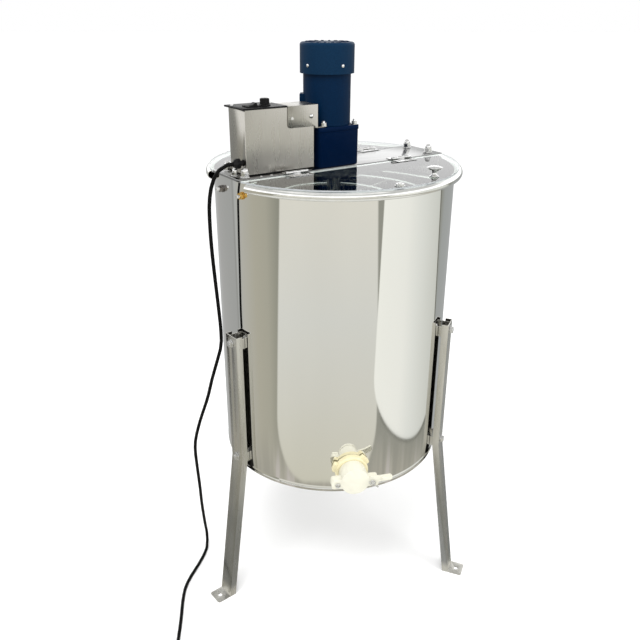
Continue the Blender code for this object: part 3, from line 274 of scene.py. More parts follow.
def to_object(name, shape, material, body="frame", smooth=40.0, bevel=0.0, segments=2):
    """A piece from a closed bmesh in world coordinates, riding on a body."""
    bmesh.ops.recalc_face_normals(shape, faces=shape.faces)
    mesh = bpy.data.meshes.new(name)
    shape.to_mesh(mesh)
    shape.free()
    made = bpy.data.objects.new(name, mesh)
    bpy.context.scene.collection.objects.link(made)
    mesh.materials.append(material)
    mesh.shade_smooth()
    if bevel:
        modifier = made.modifiers.new("edges", "BEVEL")
        modifier.width = bevel
        modifier.segments = segments
        modifier.limit_method = "ANGLE"
        modifier.angle_limit = math.radians(smooth)
        modifier.harden_normals = True
    else:
        mesh.set_sharp_from_angle(angle=math.radians(smooth))
    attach(made, body)
    return made


def placed(shape, matrix):
    """The same shape, moved."""
    shape.transform(matrix)
    return shape


def prism(outline, low, high):
    """An outline in the ground plane, raised from one height to another."""
    shape = bmesh.new()
    bottom = [shape.verts.new((x, y, low)) for x, y in outline]
    top = [shape.verts.new((x, y, high)) for x, y in outline]
    shape.faces.new(bottom)
    shape.faces.new(top)
    for i in range(len(outline)):
        j = (i + 1) % len(outline)
        shape.faces.new((bottom[i], bottom[j], top[j], top[i]))
    return shape


def block(xs, ys, zs):
    """A box between two corners."""
    return prism([(xs[0], ys[0]), (xs[1], ys[0]), (xs[1], ys[1]), (xs[0], ys[1])], zs[0], zs[1])


def circle(radius, sides):
    """Corners of a regular polygon about the origin."""
    steps = [2 * math.pi * i / sides for i in range(sides)]
    return [(radius * math.cos(a), radius * math.sin(a)) for a in steps]


def arc(centre, radius, first, last, steps):
    """Points on part of a circle, between two angles in degrees."""
    angles = [math.radians(first + (last - first) * i / steps) for i in range(steps + 1)]
    return [(centre[0] + radius * math.cos(a), centre[1] + radius * math.sin(a)) for a in angles]


def turned(profile, sides):
    """A solid of revolution about Z from a closed loop of (radius, z) points."""
    shape = bmesh.new()
    rings = []
    for radius, z in profile:
        if radius < 1e-6:
            rings.append([shape.verts.new((0.0, 0.0, z))])
        else:
            rings.append([shape.verts.new((x, y, z)) for x, y in circle(radius, sides)])
    for low, high in zip(rings, rings[1:] + rings[:1]):
        if len(low) == 1 and len(high) == 1:
            continue
        for i in range(sides):
            j = (i + 1) % sides
            corners = [low[i % len(low)], low[j % len(low)], high[j % len(high)], high[i % len(high)]]
            shape.faces.new(list(dict.fromkeys(corners)))
    return shape


def swept(profile, start, sweep, steps):
    """A closed (radius, z) loop carried round Z through part of a turn, with both ends closed."""
    shape = bmesh.new()
    sections = []
    for i in range(steps + 1):
        a = start + sweep * i / steps
        sections.append([shape.verts.new((r * math.cos(a), r * math.sin(a), z)) for r, z in profile])
    for first, second in zip(sections, sections[1:]):
        for i in range(len(profile)):
            j = (i + 1) % len(profile)
            shape.faces.new((first[i], first[j], second[j], second[i]))
    shape.faces.new(sections[0])
    shape.faces.new(sections[-1])
    return shape


def rod(start, end, radius, sides):
    """A round bar between two points."""
    start = Vector(start)
    along = Vector(end) - start
    shape = prism(circle(radius, sides), 0.0, along.length)
    shape.transform(Matrix.Translation(start) @ along.to_track_quat("Z", "Y").to_matrix().to_4x4())
    return shape


def merged(*shapes):
    """Several shapes as one mesh."""
    whole = bmesh.new()
    for shape in shapes:
        mesh = bpy.data.meshes.new("part")
        shape.to_mesh(mesh)
        shape.free()
        whole.from_mesh(mesh)
        bpy.data.meshes.remove(mesh)
    return whole


def hexagon(radius):
    return circle(radius, 6)


def cut_out(made, shape):
    """Cut a shape out of a piece, for good."""
    mesh = bpy.data.meshes.new("tool")
    bmesh.ops.recalc_face_normals(shape, faces=shape.faces)
    shape.to_mesh(mesh)
    shape.free()
    tool = bpy.data.objects.new("tool", mesh)
    bpy.context.scene.collection.objects.link(tool)
    modifier = made.modifiers.new("tool", "BOOLEAN")
    modifier.operation = "DIFFERENCE"
    modifier.solver = "EXACT"
    modifier.object = tool
    bpy.context.view_layer.update()
    result = made.evaluated_get(bpy.context.evaluated_depsgraph_get())
    material = made.data.materials[0]
    made.data = bpy.data.meshes.new_from_object(result)
    made.modifiers.clear()
    made.data.materials.clear()
    made.data.materials.append(material)
    bpy.data.objects.remove(tool)
    made.data.shade_smooth()
    made.data.set_sharp_from_angle(angle=math.radians(40))


def refine(node, material, bevel=0.0003, smooth=35.0, segments=2, name=None):
    """A CAD node's own shape with welded corners, smooth round faces and softened edges."""
    source = frame["nodes"][node]
    shape = bmesh.new()
    shape.from_mesh(source.data)
    bmesh.ops.remove_doubles(shape, verts=shape.verts, dist=2e-6)
    bmesh.ops.dissolve_limit(shape, angle_limit=math.radians(0.5), verts=shape.verts, edges=shape.edges)
    made = to_object(name or node + "_shape", shape, material, source["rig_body"], smooth, bevel, segments)
    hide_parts(node)
    return made


# ---------------------------------------------------------------- cord

def smooth_route(points, step):
    """Points at an even step along a Catmull-Rom curve through the given ones."""
    points = [Vector(point) for point in points]
    padded = [2 * points[0] - points[1]] + points + [2 * points[-1] - points[-2]]
    fine = [points[0]]
    for before, start, end, after in zip(padded, padded[1:], padded[2:], padded[3:]):
        for i in range(1, 41):
            t = i / 40
            fine.append(0.5 * (
                2 * start + (end - before) * t
                + (2 * before - 5 * start + 4 * end - after) * t ** 2
                + (3 * start - before - 3 * end + after) * t ** 3
            ))
    lengths = [0.0]
    for first, second in zip(fine, fine[1:]):
        lengths.append(lengths[-1] + (second - first).length)
    count = max(2, round(lengths[-1] / step))
    result, index = [fine[0]], 0
    for i in range(1, count):
        target = lengths[-1] * i / count
        while lengths[index + 1] < target:
            index += 1
        share = (target - lengths[index]) / (lengths[index + 1] - lengths[index])
        result.append(fine[index].lerp(fine[index + 1], share))
    return result + [fine[-1]]


def cord_points():
    """The power cord's route and coil in the drum's frame, as in the CAD part."""
    turn = Matrix.Rotation(BAR_AZIMUTH, 4, "Z")
    start = turn @ Vector((GLAND[0] - 0.0003, GLAND[1], 0.0)) + Vector((0.0, 0.0, RIM + GLAND[2]))
    straight = turn @ Vector((GLAND[0] - 0.011, GLAND[1], 0.0)) + Vector((0.0, 0.0, RIM + GLAND[2]))
    coil_x, coil_y = COIL_CENTRE
    route = [
        straight,
        (-0.2255, -0.1350, 0.9590), (-0.2349, -0.1302, 0.9468), (-0.2433, -0.1225, 0.9259),
        (-0.2492, -0.1129, 0.8909), (-0.2505, -0.1102, 0.8450), (-0.2496, -0.1085, 0.7959),
        (-0.2467, -0.1080, 0.7373), (-0.2435, -0.1071, 0.6786), (-0.2418, -0.1076, 0.6367),
        (-0.2432, -0.1078, 0.6015), (-0.2532, -0.1034, 0.5639), (-0.2659, -0.0944, 0.5182),
        (-0.2775, -0.0847, 0.4705), (-0.2961, -0.0729, 0.4114), (-0.3090, -0.0631, 0.3608),
        (-0.3128, -0.0561, 0.3250), (-0.3121, -0.0426, 0.2673), (-0.3105, -0.0292, 0.2100),
        (-0.3100, -0.0118, 0.1479), (-0.3080, 0.0050, 0.0860), (-0.3060, 0.0165, 0.0480),
        (-0.3050, 0.0185, 0.0357), (-0.3045, 0.0142, 0.0197), (-0.3055, 0.0025, 0.0080),
        (-0.3085, -0.0135, CORD_REST), (-0.3180, -0.0400, CORD_REST), (-0.3300, -0.0670, CORD_REST),
        (-0.3440, -0.0960, CORD_REST), (-0.3560, -0.1300, CORD_REST), (-0.3612, -0.1700, CORD_REST),
        (-0.3632, -0.2120, CORD_REST), (-0.3660, -0.2500, CORD_REST), (-0.3690, -0.2850, CORD_REST),
        (coil_x - COIL_RADIUS, coil_y + 0.0245, CORD_REST),
    ]
    points = [start] + smooth_route(route, 0.0195)
    turns = 2.0
    steps = 56
    for i in range(1, steps + 1):
        done = turns * i / steps
        angle = math.pi + 2 * math.pi * done
        rise = 2 * CORD_RADIUS * min(1.0, max(0.0, (done - 0.82) / 0.18)) * 1.02
        points.append(Vector((coil_x + COIL_RADIUS * math.cos(angle), coil_y + COIL_RADIUS * math.sin(angle),
                              CORD_REST + rise)))
    return points


def make_cord(materials):
    """The power cord as one tube along its route, with the plug at its end."""
    world = [ROOT @ point for point in cord_points()]
    curve = bpy.data.curves.new("power_cord_curve", "CURVE")
    curve.dimensions = "3D"
    curve.bevel_depth = CORD_RADIUS
    curve.bevel_resolution = 6
    curve.use_fill_caps = True
    spline = curve.splines.new("POLY")
    spline.points.add(len(world) - 1)
    for target, point in zip(spline.points, world):
        target.co = (*point, 1.0)
    cord = bpy.data.objects.new("power_cord_run", curve)
    bpy.context.scene.collection.objects.link(cord)
    curve.materials.append(materials["cord_rubber"])
    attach(cord, "frame")
    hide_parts("power_cord", "power_cord_coil")
    plug = refine("power_plug", materials["cord_rubber"], 0.0012, 30.0, 3)


# ---------------------------------------------------------------- drum

def make_drum(materials):
    """Wall and rolled rim with fine sides, replacing the CAD shell."""
    inside = RADIUS - WALL
    wall = [(inside, 0.318), (RADIUS, 0.318)]
    seam = ((0.3225, 0.0), (0.3235, 0.0), (0.3250, 0.0006), (0.3280, 0.0006), (0.3295, 0.0), (0.3305, 0.0))
    wall += [(RADIUS + out, z) for z, out in seam]
    wall += [(RADIUS, RIM - 0.0045), (RADIUS, RIM - 0.0035), (RADIUS - 0.0006, RIM - 0.0030),
             (inside, RIM - 0.0035)]
    shell = to_object("drum_wall", placed(turned(wall, 360), ROOT), materials["drum_steel"])
    hole = rod((0.0, AXIS_Y - 0.21, GATE_HEIGHT), (0.0, AXIS_Y - 0.26, GATE_HEIGHT), 0.0236, 48)
    cut_out(shell, hole)
    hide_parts("drum_shell")

    centre = (inside + BEAD, RIM - BEAD)
    loop = arc(centre, BEAD, 212, 540, 30) + arc(centre, BEAD - 0.001, 540, 212, 30)
    half = NOTCH_HALF_ANGLE
    for name, start in (("front", math.pi), ("rear", 0.0)):
        bead = swept(loop, BAR_AZIMUTH + start + half, math.pi - 2 * half, 150)
        to_object("rim_bead_" + name, placed(bead, ROOT), materials["bead_steel"])
    lip = [(inside, RIM - 0.0036), (RADIUS, RIM - 0.0036), (RADIUS, RIM - 0.0008),
           (RADIUS - 0.0006, RIM - 0.0003), (inside, RIM - 0.0008)]
    for name, start in (("right", 0.0), ("left", math.pi)):
        notch = swept(lip, BAR_AZIMUTH + start - half, 2 * half, 30)
        to_object("rim_lip_" + name, placed(notch, ROOT), materials["drum_steel"])
    refine("drum_floor", materials["drum_steel"], 0.0)
    refine("bearing_cup", materials["satin_steel"], 0.0004)


def paint_channel_shade(made, material, degrees):
    """Painted shade: the faces inside a leg's channel get a near-black, duller finish in place of the shade
    there.
    """
    outward = Vector((math.cos(math.radians(degrees)), math.sin(math.radians(degrees)), 0.0))
    across = Vector((-outward.y, outward.x, 0.0))
    made.data.materials.append(material)
    for face in made.data.polygons:
        offset = (face.center - Vector((0.0, AXIS_Y, 0.0))).dot(across)
        if face.normal.dot(outward) < -0.8 or face.normal.dot(across) * offset < -0.8 * abs(offset):
            face.material_index = 1


def make_legs(materials):
    """Folded legs with their brackets and the bolts through them."""
    for leg, degrees in LEGS:
        made = refine("leg_" + leg, materials["leg_steel"], 0.0007, segments=3)
        paint_channel_shade(made, materials["leg_channel_painted_shade"], degrees)
        for level, _ in LEG_BOLTS:
            refine(f"leg_bracket_{leg}_{level}", materials["satin_steel"], 0.0004)
    washer = [(0.0, 0.0), (0.0085, 0.0), (0.0085, 0.0009), (0.0080, 0.0012), (0.0, 0.0012)]
    for leg, degrees in LEGS:
        for level, height in LEG_BOLTS:
            spot = ROOT @ Matrix.Rotation(math.radians(degrees), 4, "Z")
            spot = spot @ Matrix.Translation((0.2581, 0.0, height)) @ ON_END
            bolt = merged(prism(hexagon(0.0075), -0.0109, -0.0044),
                          prism(circle(0.0040, 20), -0.0125, 0.0010),
                          turned(washer, 28), prism(hexagon(0.0075), 0.0013, 0.0060),
                          prism(circle(0.0040, 20), 0.0055, 0.0068))
            to_object(f"leg_bolt_{leg}_{level}", placed(bolt, spot), materials["fastener_steel"],
                      bevel=0.0003)


# ---------------------------------------------------------------- top

def acorn_nut(height, radius, washer):
    """Washer, hexagon and dome, standing on z = 0."""
    base = turned([(0.0, 0.0), (washer, 0.0), (washer, 0.0011), (washer - 0.0004, 0.0014), (0.0, 0.0014)], 28)
    body = prism(hexagon(radius), 0.0015, height * 0.50)
    dome_radius = radius * 0.80
    profile = [(0.0, height * 0.44), (dome_radius, height * 0.44), (dome_radius, height * 0.62)]
    for i in range(1, 7):
        angle = math.radians(90 * i / 6)
        profile.append((dome_radius * math.cos(angle), height * 0.62 + height * 0.38 * math.sin(angle)))
    profile[-1] = (0.0, height)
    return merged(base, body, turned(profile, 24))


def hex_bolt(length, radius, washer):
    """A washer with its hexagon nut, and the rounded thread end, along +Z."""
    base = turned([(0.0, 0.0), (washer, 0.0), (washer, 0.0012), (0.0, 0.0012)], 28)
    nut = prism(hexagon(radius), 0.0013, 0.0013 + radius * 0.95)
    end = turned([(0.0, 0.001), (radius * 0.52, 0.001), (radius * 0.52, length - 0.0012),
                  (radius * 0.38, length), (0.0, length)], 16)
    return merged(base, nut), end


def make_top(materials):
    """The crossbar with its nuts, the bolts through the wall below it and the lids."""
    steel = materials["fastener_steel"]
    refine("crossbar", materials["bar_steel"], 0.0006, segments=3)
    for side in ("left", "right"):
        refine("bar_bracket_" + side, materials["satin_steel"], 0.0)
    for end, end_name in ((-1, "left"), (1, "right")):
        for side, side_name in ((-1, "front"), (1, "rear")):
            place = (-0.2200, -0.0370) if end < 0 and side < 0 else (end * 0.2175, side * 0.034)
            spot = BAR @ Matrix.Translation((*place, BAR_TOP))
            to_object(f"dome_nut_{end_name}_{side_name}", placed(acorn_nut(0.0175, 0.0082, 0.0090), spot),
                      steel, bevel=0.0003)
            across = 0.048 if side == end else 0.020
            angle = math.asin(side * across / RADIUS)
            angle = angle if end > 0 else math.pi - angle
            wall = BAR @ Matrix.Rotation(angle, 4, "Z")
            wall = wall @ Matrix.Translation((RADIUS + 0.0004, 0.0, -0.0245)) @ ON_END
            nut, end_piece = hex_bolt(0.0140, 0.0062, 0.0070)
            metal = materials["brass" if side == end else "dark_steel"]
            to_object(f"wall_nut_{end_name}_{side_name}", placed(nut, wall), metal, bevel=0.0002)
            to_object(f"wall_bolt_{end_name}_{side_name}", placed(end_piece, wall), steel)
    spot = BAR @ Matrix.Translation((-0.2275, -0.0150, BAR_TOP))
    to_object("dome_nut_left_middle", placed(acorn_nut(0.0140, 0.0070, 0.0080), spot), steel, bevel=0.0003)
    for i, (x, y) in enumerate(((-0.1922, -0.0465), (-0.1714, -0.0470))):
        to_object(f"box_foot_screw_{i + 1}", placed(hinge_screw(x, y, 0.0050), BAR), steel)
    make_lids(materials)


def make_lids(materials):
    """Clear half lids on two hinges each; their sawn edges carry painted light, a highlight on the straight
    edge and a grey reflection on the curved one.
    """
    steel = materials["fastener_steel"]
    edge, radius = 0.0555, 0.2455
    start = math.asin(edge / radius)
    for name, side in (("front", -1), ("rear", 1)):
        angles = [start + (math.pi - 2 * start) * i / 120 for i in range(121)]
        lid = prism([(radius * math.cos(a), side * radius * math.sin(a)) for a in angles], LID_LOW, LID_TOP)
        body = name + "_lid_body"
        made = to_object(name + "_lid_sheet", placed(lid, BAR), materials["lid_acrylic"], body, 60.0)
        made.data.materials.append(materials["lid_edge_painted_highlight"])
        made.data.materials.append(materials["lid_rim_painted_reflection"])
        # Painted light: the straight sawn edge gets a painted highlight, the curved edge a painted grey
        # reflection
        for face in made.data.polygons:
            if face.normal.dot(BAR.col[1].to_3d()) * side < -0.9:
                face.material_index = 1
            elif abs(face.normal.z) < 0.3:
                face.material_index = 2
        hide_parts(name + "_lid")
        for place in ("left", "right"):
            refine(f"{name}_lid_leaf_{place}", steel, 0.0002)
            refine(f"{name}_hinge_leaf_{place}", steel, 0.0002)
            x = -0.124 if place == "left" else 0.124
            for leaf, rider, y, z in (("lid", body, 0.0720, 0.0049), ("hinge", "frame", 0.0475, 0.0061)):
                heads = [hinge_screw(x + dx, side * y, z) for dx in (-0.015, 0.0, 0.015)]
                to_object(f"{name}_{leaf}_screws_{place}", placed(merged(*heads), BAR), steel, rider)
        make_lid_knob(name, side, body, steel)


def hinge_screw(x, y, z):
    """A countersunk screw's rounded head."""
    profile = [(0.0, z - 0.0003), (0.0026, z - 0.0003), (0.0022, z + 0.0006), (0.0012, z + 0.0010),
               (0.0, z + 0.0011)]
    return placed(turned(profile, 14), Matrix.Translation((x, y, 0.0)))


def make_lid_knob(name, side, body, steel):
    """The mushroom knob, and the stud near the middle of the lid's edge."""
    knob = [(0.0, 0.0), (0.0085, 0.0), (0.0088, 0.0008), (0.0078, 0.0020), (0.0050, 0.0042), (0.0041, 0.0068),
            (0.0044, 0.0095), (0.0070, 0.0120), (0.0115, 0.0142), (0.0143, 0.0158), (0.0145, 0.0166),
            (0.0136, 0.0174), (0.0095, 0.0188), (0.0045, 0.0196), (0.0, 0.0198)]
    spot = BAR @ Matrix.Translation((0.072, side * 0.213, LID_TOP + 0.0003))
    made = to_object(name + "_lid_pull", placed(turned(knob, 40), spot), steel, body, 50.0)
    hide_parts(name + "_lid_knob")
    stud = merged(turned([(0.0, 0.0034), (0.0090, 0.0034), (0.0090, 0.0044), (0.0, 0.0044)], 28),
                  prism(hexagon(0.0080), 0.0045, 0.0076),
                  turned([(0.0, 0.004), (0.0042, 0.004), (0.0036, 0.0087), (0.0, 0.0090)], 20))
    spot = BAR @ Matrix.Translation((-0.0265, side * 0.2345, 0.0))
    to_object(name + "_lid_stud", placed(stud, spot), steel, body, bevel=0.0003)


# ---------------------------------------------------------------- drive

def make_motor(materials):
    """Gearbox, motor with its junction box, the moving insides, the fan cover and the gearbox's nuts."""
    paint = materials["motor_paint"]
    refine("gearbox_housing", materials["gearbox_paint"], 0.0009, segments=3)
    inside, radius, top = 0.040, 0.045, 0.188
    profile = [(inside, 0.0783), (radius - 0.0006, 0.0783), (radius, 0.0790), (radius, 0.0800),
               (radius, top - 0.002), (radius, top - 0.001), (radius - 0.001, top),
               (0.006, top), (0.006, top - 0.004), (inside, top - 0.004)]
    housing = to_object("motor_body", placed(turned(profile, 120), MOTOR_AXIS), paint)
    box = placed(prism([(0.042, -0.014), (0.0515, -0.0125), (0.0515, 0.0125), (0.042, 0.014)], 0.098, 0.134),
                 MOTOR_AXIS @ Matrix.Rotation(math.radians(144), 4, "Z"))
    to_object("motor_junction_box", box, paint, bevel=0.0015, segments=3)
    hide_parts("motor_housing")
    refine("stator", materials["stator_core"], 0.0004)
    for node, bevel in (("rotor_and_fan", 0.0002), ("lay_gear", 0.0001), ("output_shaft", 0.0001)):
        refine(node, materials["gear_steel"], bevel)
    make_fan_cover(materials)
    for x, y in ((-0.0515, -0.0380), (0.0195, -0.0380), (0.0195, 0.0380), (-0.0565, 0.0380)):
        spot = BAR @ Matrix.Translation((x, y, 0.0800 if (x < 0 and y < 0) else 0.0784))
        name = f"gearbox_nut_{'left' if x < 0 else 'right'}_{'rear' if y > 0 else 'front'}"
        bolt = merged(*hex_bolt(0.0100, 0.0056, 0.0064))
        to_object(name, placed(bolt, spot), materials["fastener_steel"], bevel=0.0002)


def make_fan_cover(materials):
    """A sheet cap with two rings of vents, raised ribs between them and four screws."""
    radius, low, top, skin = 0.051, 0.171, 0.225, 0.0015
    profile = [(radius - skin, low), (radius, low), (radius, low + 0.001), (radius, top - 0.006)]
    corner = (radius - 0.005, top - 0.005)
    profile += arc(corner, 0.005, 0, 90, 8) + [(0.0, top), (0.0, top - skin)] + arc(corner, 0.0035, 90, 0, 6)
    cover = to_object("fan_cover_shell", placed(turned(profile, 96), MOTOR_AXIS), materials["cover_paint"])
    vents = []
    for ring, count, inner, outer in ((0, 18, 0.030, 0.042), (1, 12, 0.014, 0.026)):
        for i in range(count):
            angle = 2 * math.pi * (i + 0.5 * ring) / count
            outline = [(inner, -0.0017), (outer, -0.0019), (outer, 0.0019), (inner, 0.0017)]
            slot = prism(outline, top - 0.004, top + 0.002)
            vents.append(placed(slot, MOTOR_AXIS @ Matrix.Rotation(angle, 4, "Z")))
    cut_out(cover, merged(*vents))
    ribs = []
    for i in range(18):
        outline = [(0.031, -0.0016), (0.041, -0.0022), (0.041, 0.0022), (0.031, 0.0016)]
        rib = prism(outline, top - 0.0006, top + 0.0012)
        ribs.append(placed(rib, MOTOR_AXIS @ Matrix.Rotation(2 * math.pi * (i + 0.5) / 18, 4, "Z")))
    to_object("fan_cover_ribs", merged(*ribs), materials["gearbox_paint"], bevel=0.0004)
    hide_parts("fan_cover")
    head = [(0.0, -0.0004), (0.0030, -0.0004), (0.0029, 0.0006), (0.0018, 0.0012), (0.0, 0.0014)]
    for i, degrees in enumerate((-143, -65, 25, 115)):
        turn = MOTOR_AXIS @ Matrix.Rotation(math.radians(degrees) - BAR_AZIMUTH, 4, "Z")
        spot = turn @ Matrix.Translation((radius, 0.0, 0.1855)) @ ON_END
        to_object(f"fan_cover_screw_{i + 1}", placed(turned(head, 20), spot), materials["fastener_steel"])


# ---------------------------------------------------------------- control box

def make_box(materials):
    """The control box with its hood, panel, controls, gland, screws, and a black strip under it as painted
    shadow in the gap.
    """
    refine("control_box", materials["box_steel"], 0.0009, segments=3)
    refine("box_hood", materials["box_steel"], 0.0004)
    refine("control_panel", materials["black_plastic"], 0.0005)
    make_switch(materials["black_plastic"])
    make_gland(materials["black_plastic"])
    refine("motor_lead", materials["cord_rubber"], 0.0)
    make_speed_knob(materials["black_plastic"])
    # A black strip filling the gap under the box: painted shadow
    low, high = 0.0049, 0.0078
    strip = merged(block((-0.2180, -0.0735), (-0.0400, -0.0391), (low, high)),
                   block((-0.2180, -0.2171), (-0.0400, 0.0225), (low, high)),
                   block((-0.2180, -0.0735), (0.0216, 0.0225), (low, high)))
    to_object("box_gap_painted_shadow", placed(strip, BAR), materials["cord_rubber"])
    make_box_screws(materials["fastener_steel"])


def make_switch(plastic):
    """A rocker tilted to its off side, in a raised bezel."""
    rocker = prism([(-0.0090, -0.0055), (0.0090, -0.0055), (0.0090, 0.0058), (0.0060, 0.0064), (0.0, 0.0036),
                    (-0.0060, 0.0040), (-0.0090, 0.0032)], -0.0060, 0.0060)
    spot = BAR @ Matrix.Translation((-0.1934, -0.0210, 0.1228))
    spot = spot @ Matrix.Rotation(math.radians(-7), 4, "Y") @ FACING_FRONT
    body = frame["nodes"]["power_switch"]["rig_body"]
    made = to_object("switch_rocker", placed(rocker, spot), plastic, body, bevel=0.0005)
    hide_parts("power_switch")
    low, high = 0.1229, 0.1250
    bezel = merged(block((-0.2065, -0.1803), (-0.0318, -0.0302), (low, high)),
                   block((-0.2065, -0.1803), (-0.0118, -0.0102), (low, high)),
                   block((-0.2065, -0.2049), (-0.0302, -0.0118), (low, high)),
                   block((-0.1819, -0.1803), (-0.0302, -0.0118), (low, high)))
    to_object("switch_bezel", placed(bezel, BAR), plastic)


def make_box_screws(steel):
    """Two screws in the panel's corners and two in the hood."""
    for name, x, y in (("panel_screw_rear", -0.2140, 0.0130), ("panel_screw_front", -0.1380, 0.0087)):
        head = [(0.0, 0.0), (0.0032, 0.0), (0.0030, 0.0010), (0.0018, 0.0019), (0.0, 0.0022)]
        spot = BAR @ Matrix.Translation((x, y, 0.1230))
        to_object(name, placed(turned(head, 20), spot), steel)
    small = [(0.0, 0.0), (0.0030, 0.0), (0.0027, 0.0012), (0.0, 0.0016)]
    large = [(0.0, 0.0), (0.0042, 0.0), (0.0038, 0.0016), (0.0020, 0.0028), (0.0, 0.0031)]
    for i, (x, z, head) in enumerate(((-0.1222, 0.0994, small), (-0.0812, 0.1010, large))):
        spot = BAR @ Matrix.Translation((x, -0.0409, z)) @ FACING_FRONT
        to_object(f"hood_screw_{i + 1}", placed(turned(head, 20), spot), steel)


def make_gland(material):
    """Collar, ribbed nut and rounded nose of the cable gland, with its lock nut inside the box."""
    profile = [(0.0, 0.0058), (0.0088, 0.0058), (0.0088, 0.0018), (0.0058, 0.0018), (0.0058, -0.0003),
               (0.0048, -0.0003), (0.0048, -0.0072), (0.0084, -0.0076)]
    for i in range(4):
        start = -0.0080 - 0.0018 * i
        profile += [(0.0090, start), (0.0090, start - 0.0009), (0.0082, start - 0.0012),
                    (0.0082, start - 0.0015)]
    profile += [(0.0074, -0.0172), (0.0054, -0.0190), (0.0042, -0.0208), (0.0, -0.0208)]
    spot = BAR @ Matrix.Translation((-0.217, GLAND[1], GLAND[2])) @ ON_END
    made = to_object("cable_gland_nut", placed(turned(profile, 40), spot), material, smooth=30.0)
    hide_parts("cable_gland")


def make_speed_knob(material):
    """Fluted knob on a round skirt, with a raised pointer line."""
    outline = []
    for i in range(72):
        a = 2 * math.pi * i / 72
        radius = 0.0083 + 0.0003 * math.cos(18 * a)
        outline.append((radius * math.cos(a), radius * math.sin(a)))
    skirt = turned([(0.0, 0.1231), (0.0105, 0.1231), (0.0103, 0.1248), (0.0086, 0.1262), (0.0, 0.1262)], 40)
    top = turned([(0.0, 0.134), (0.0078, 0.134), (0.0076, 0.1351), (0.0070, 0.1356), (0.0, 0.1358)], 40)
    grip = prism(outline, 0.1255, 0.1348)
    pointer = block((-0.0005, 0.0005), (-0.0074, -0.0020), (0.1350, 0.1360))
    spot = BAR @ Matrix.Translation((-0.166, -0.0197, 0.0))
    knob = merged(skirt, top, grip, pointer)
    made = to_object("speed_knob_grip", placed(knob, spot), material, "speed_knob_body")
    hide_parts("speed_knob")


# ---------------------------------------------------------------- basket and gate

def make_basket(materials):
    """Shaft, spokes, lower frame and screens as in the CAD, and two rounder top rings."""
    for node in ("basket_shaft", "basket_bottom_frame", "basket_top_spokes", "basket_screen_front",
                 "basket_screen_rear", "basket_screen_left", "basket_screen_right"):
        refine(node, materials["satin_steel"], 0.0)
    for name, radius in (("basket_top_ring", 0.205), ("basket_guide_ring", 0.118)):
        loop = [(radius + x, 0.868 + y) for x, y in circle(0.003, 12)]
        made = to_object(name + "_rod", placed(turned(loop, 160), ROOT), materials["ring_steel"], "basket")
        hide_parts(name)


def make_gate(materials):
    """The honey gate's six parts, with softened edges."""
    for node, finish_name, bevel, segments in (
            ("gate_body", "cream_plastic", 0.0008, 3), ("gate_inner_nut", "cream_plastic", 0.0006, 2),
            ("gate_ring_nut", "yellow_plastic", 0.0010, 3), ("gate_blade", "cream_plastic", 0.0009, 3),
            ("gate_pivot_screw", "fastener_steel", 0.0003, 2),
            ("gate_wing_screw", "fastener_steel", 0.0003, 2)):
        refine(node, materials[finish_name], bevel, segments=segments)


# ---------------------------------------------------------------- studio

def make_studio():
    """White floor and a soft surround; glossy surfaces see its panels, the camera sees white."""
    floor = bpy.data.objects.new("floor", bpy.data.meshes.new("floor"))
    shape = bmesh.new()
    bmesh.ops.create_grid(shape, x_segments=1, y_segments=1, size=40.0)
    shape.to_mesh(floor.data)
    shape.free()
    bpy.context.scene.collection.objects.link(floor)
    made, _, _, shader = new_material("floor_white")
    shader.inputs["Base Color"].default_value = (FLOOR_WHITE, FLOOR_WHITE, FLOOR_WHITE, 1.0)
    shader.inputs["Roughness"].default_value = 0.9
    floor.data.materials.append(made)
    floor.visible_glossy = False
    make_world()
    add_light("key", (-0.8, -1.4, 3.2), 1.6, 62.0)
    add_light("fill", (1.8, -1.5, 2.4), 1.6, 26.0)
    bpy.context.scene.view_settings.view_transform = "Standard"


def add_light(name, place, size, power):
    """A square soft light turned to the middle of the drum."""
    data = bpy.data.lights.new(name, "AREA")
    data.shape = "SQUARE"
    data.size = size
    data.energy = power
    light = bpy.data.objects.new(name, data)
    light.location = place
    light.rotation_mode = "QUATERNION"
    light.rotation_quaternion = (Vector((0.0, 0.0, 0.6)) - Vector(place)).to_track_quat("-Z", "Y")
    light.visible_glossy = False
    bpy.context.scene.collection.objects.link(light)


def math_node(tree, operation, *values):
    """The result of an operation on numbers or sockets."""
    node = tree.nodes.new("ShaderNodeMath")
    node.operation = operation
    for i, value in enumerate(values):
        if isinstance(value, (int, float)):
            node.inputs[i].default_value = value
        else:
            tree.links.new(value, node.inputs[i])
    return node.outputs[0]


def step_node(tree, value, low, high):
    """A smooth step from 0 at low to 1 at high."""
    node = tree.nodes.new("ShaderNodeMapRange")
    node.interpolation_type = "SMOOTHSTEP"
    node.inputs["From Min"].default_value = low
    node.inputs["From Max"].default_value = high
    tree.links.new(value, node.inputs["Value"])
    return node.outputs["Result"]


def below_node(tree, value, low, high):
    """A smooth step from 1 at low to 0 at high."""
    return math_node(tree, "SUBTRACT", 1.0, step_node(tree, value, low, high))


def mix_node(tree, share, first, second):
    """A blend of two colours, each given as a value or a socket."""
    node = tree.nodes.new("ShaderNodeMix")
    node.data_type = "RGBA"
    tree.links.new(share, node.inputs["Factor"])
    for socket, value in ((node.inputs["A"], first), (node.inputs["B"], second)):
        if isinstance(value, tuple):
            socket.default_value = (*value, 1.0)
        else:
            tree.links.new(value, socket)
    return node.outputs["Result"]


def ramp_node(tree, value, low, high, stops):
    """Colours along a value that runs from low to high."""
    node = tree.nodes.new("ShaderNodeValToRGB")
    share = math_node(tree, "DIVIDE", math_node(tree, "SUBTRACT", value, low), high - low)
    tree.links.new(share, node.inputs["Fac"])
    elements = node.color_ramp.elements
    elements.remove(elements[-1])
    elements[0].position = (stops[0][0] - low) / (high - low)
    elements[0].color = (*stops[0][1], 1.0)
    for place, colour in stops[1:]:
        element = elements.new((place - low) / (high - low))
        element.color = (*colour, 1.0)
    return node.outputs["Color"]


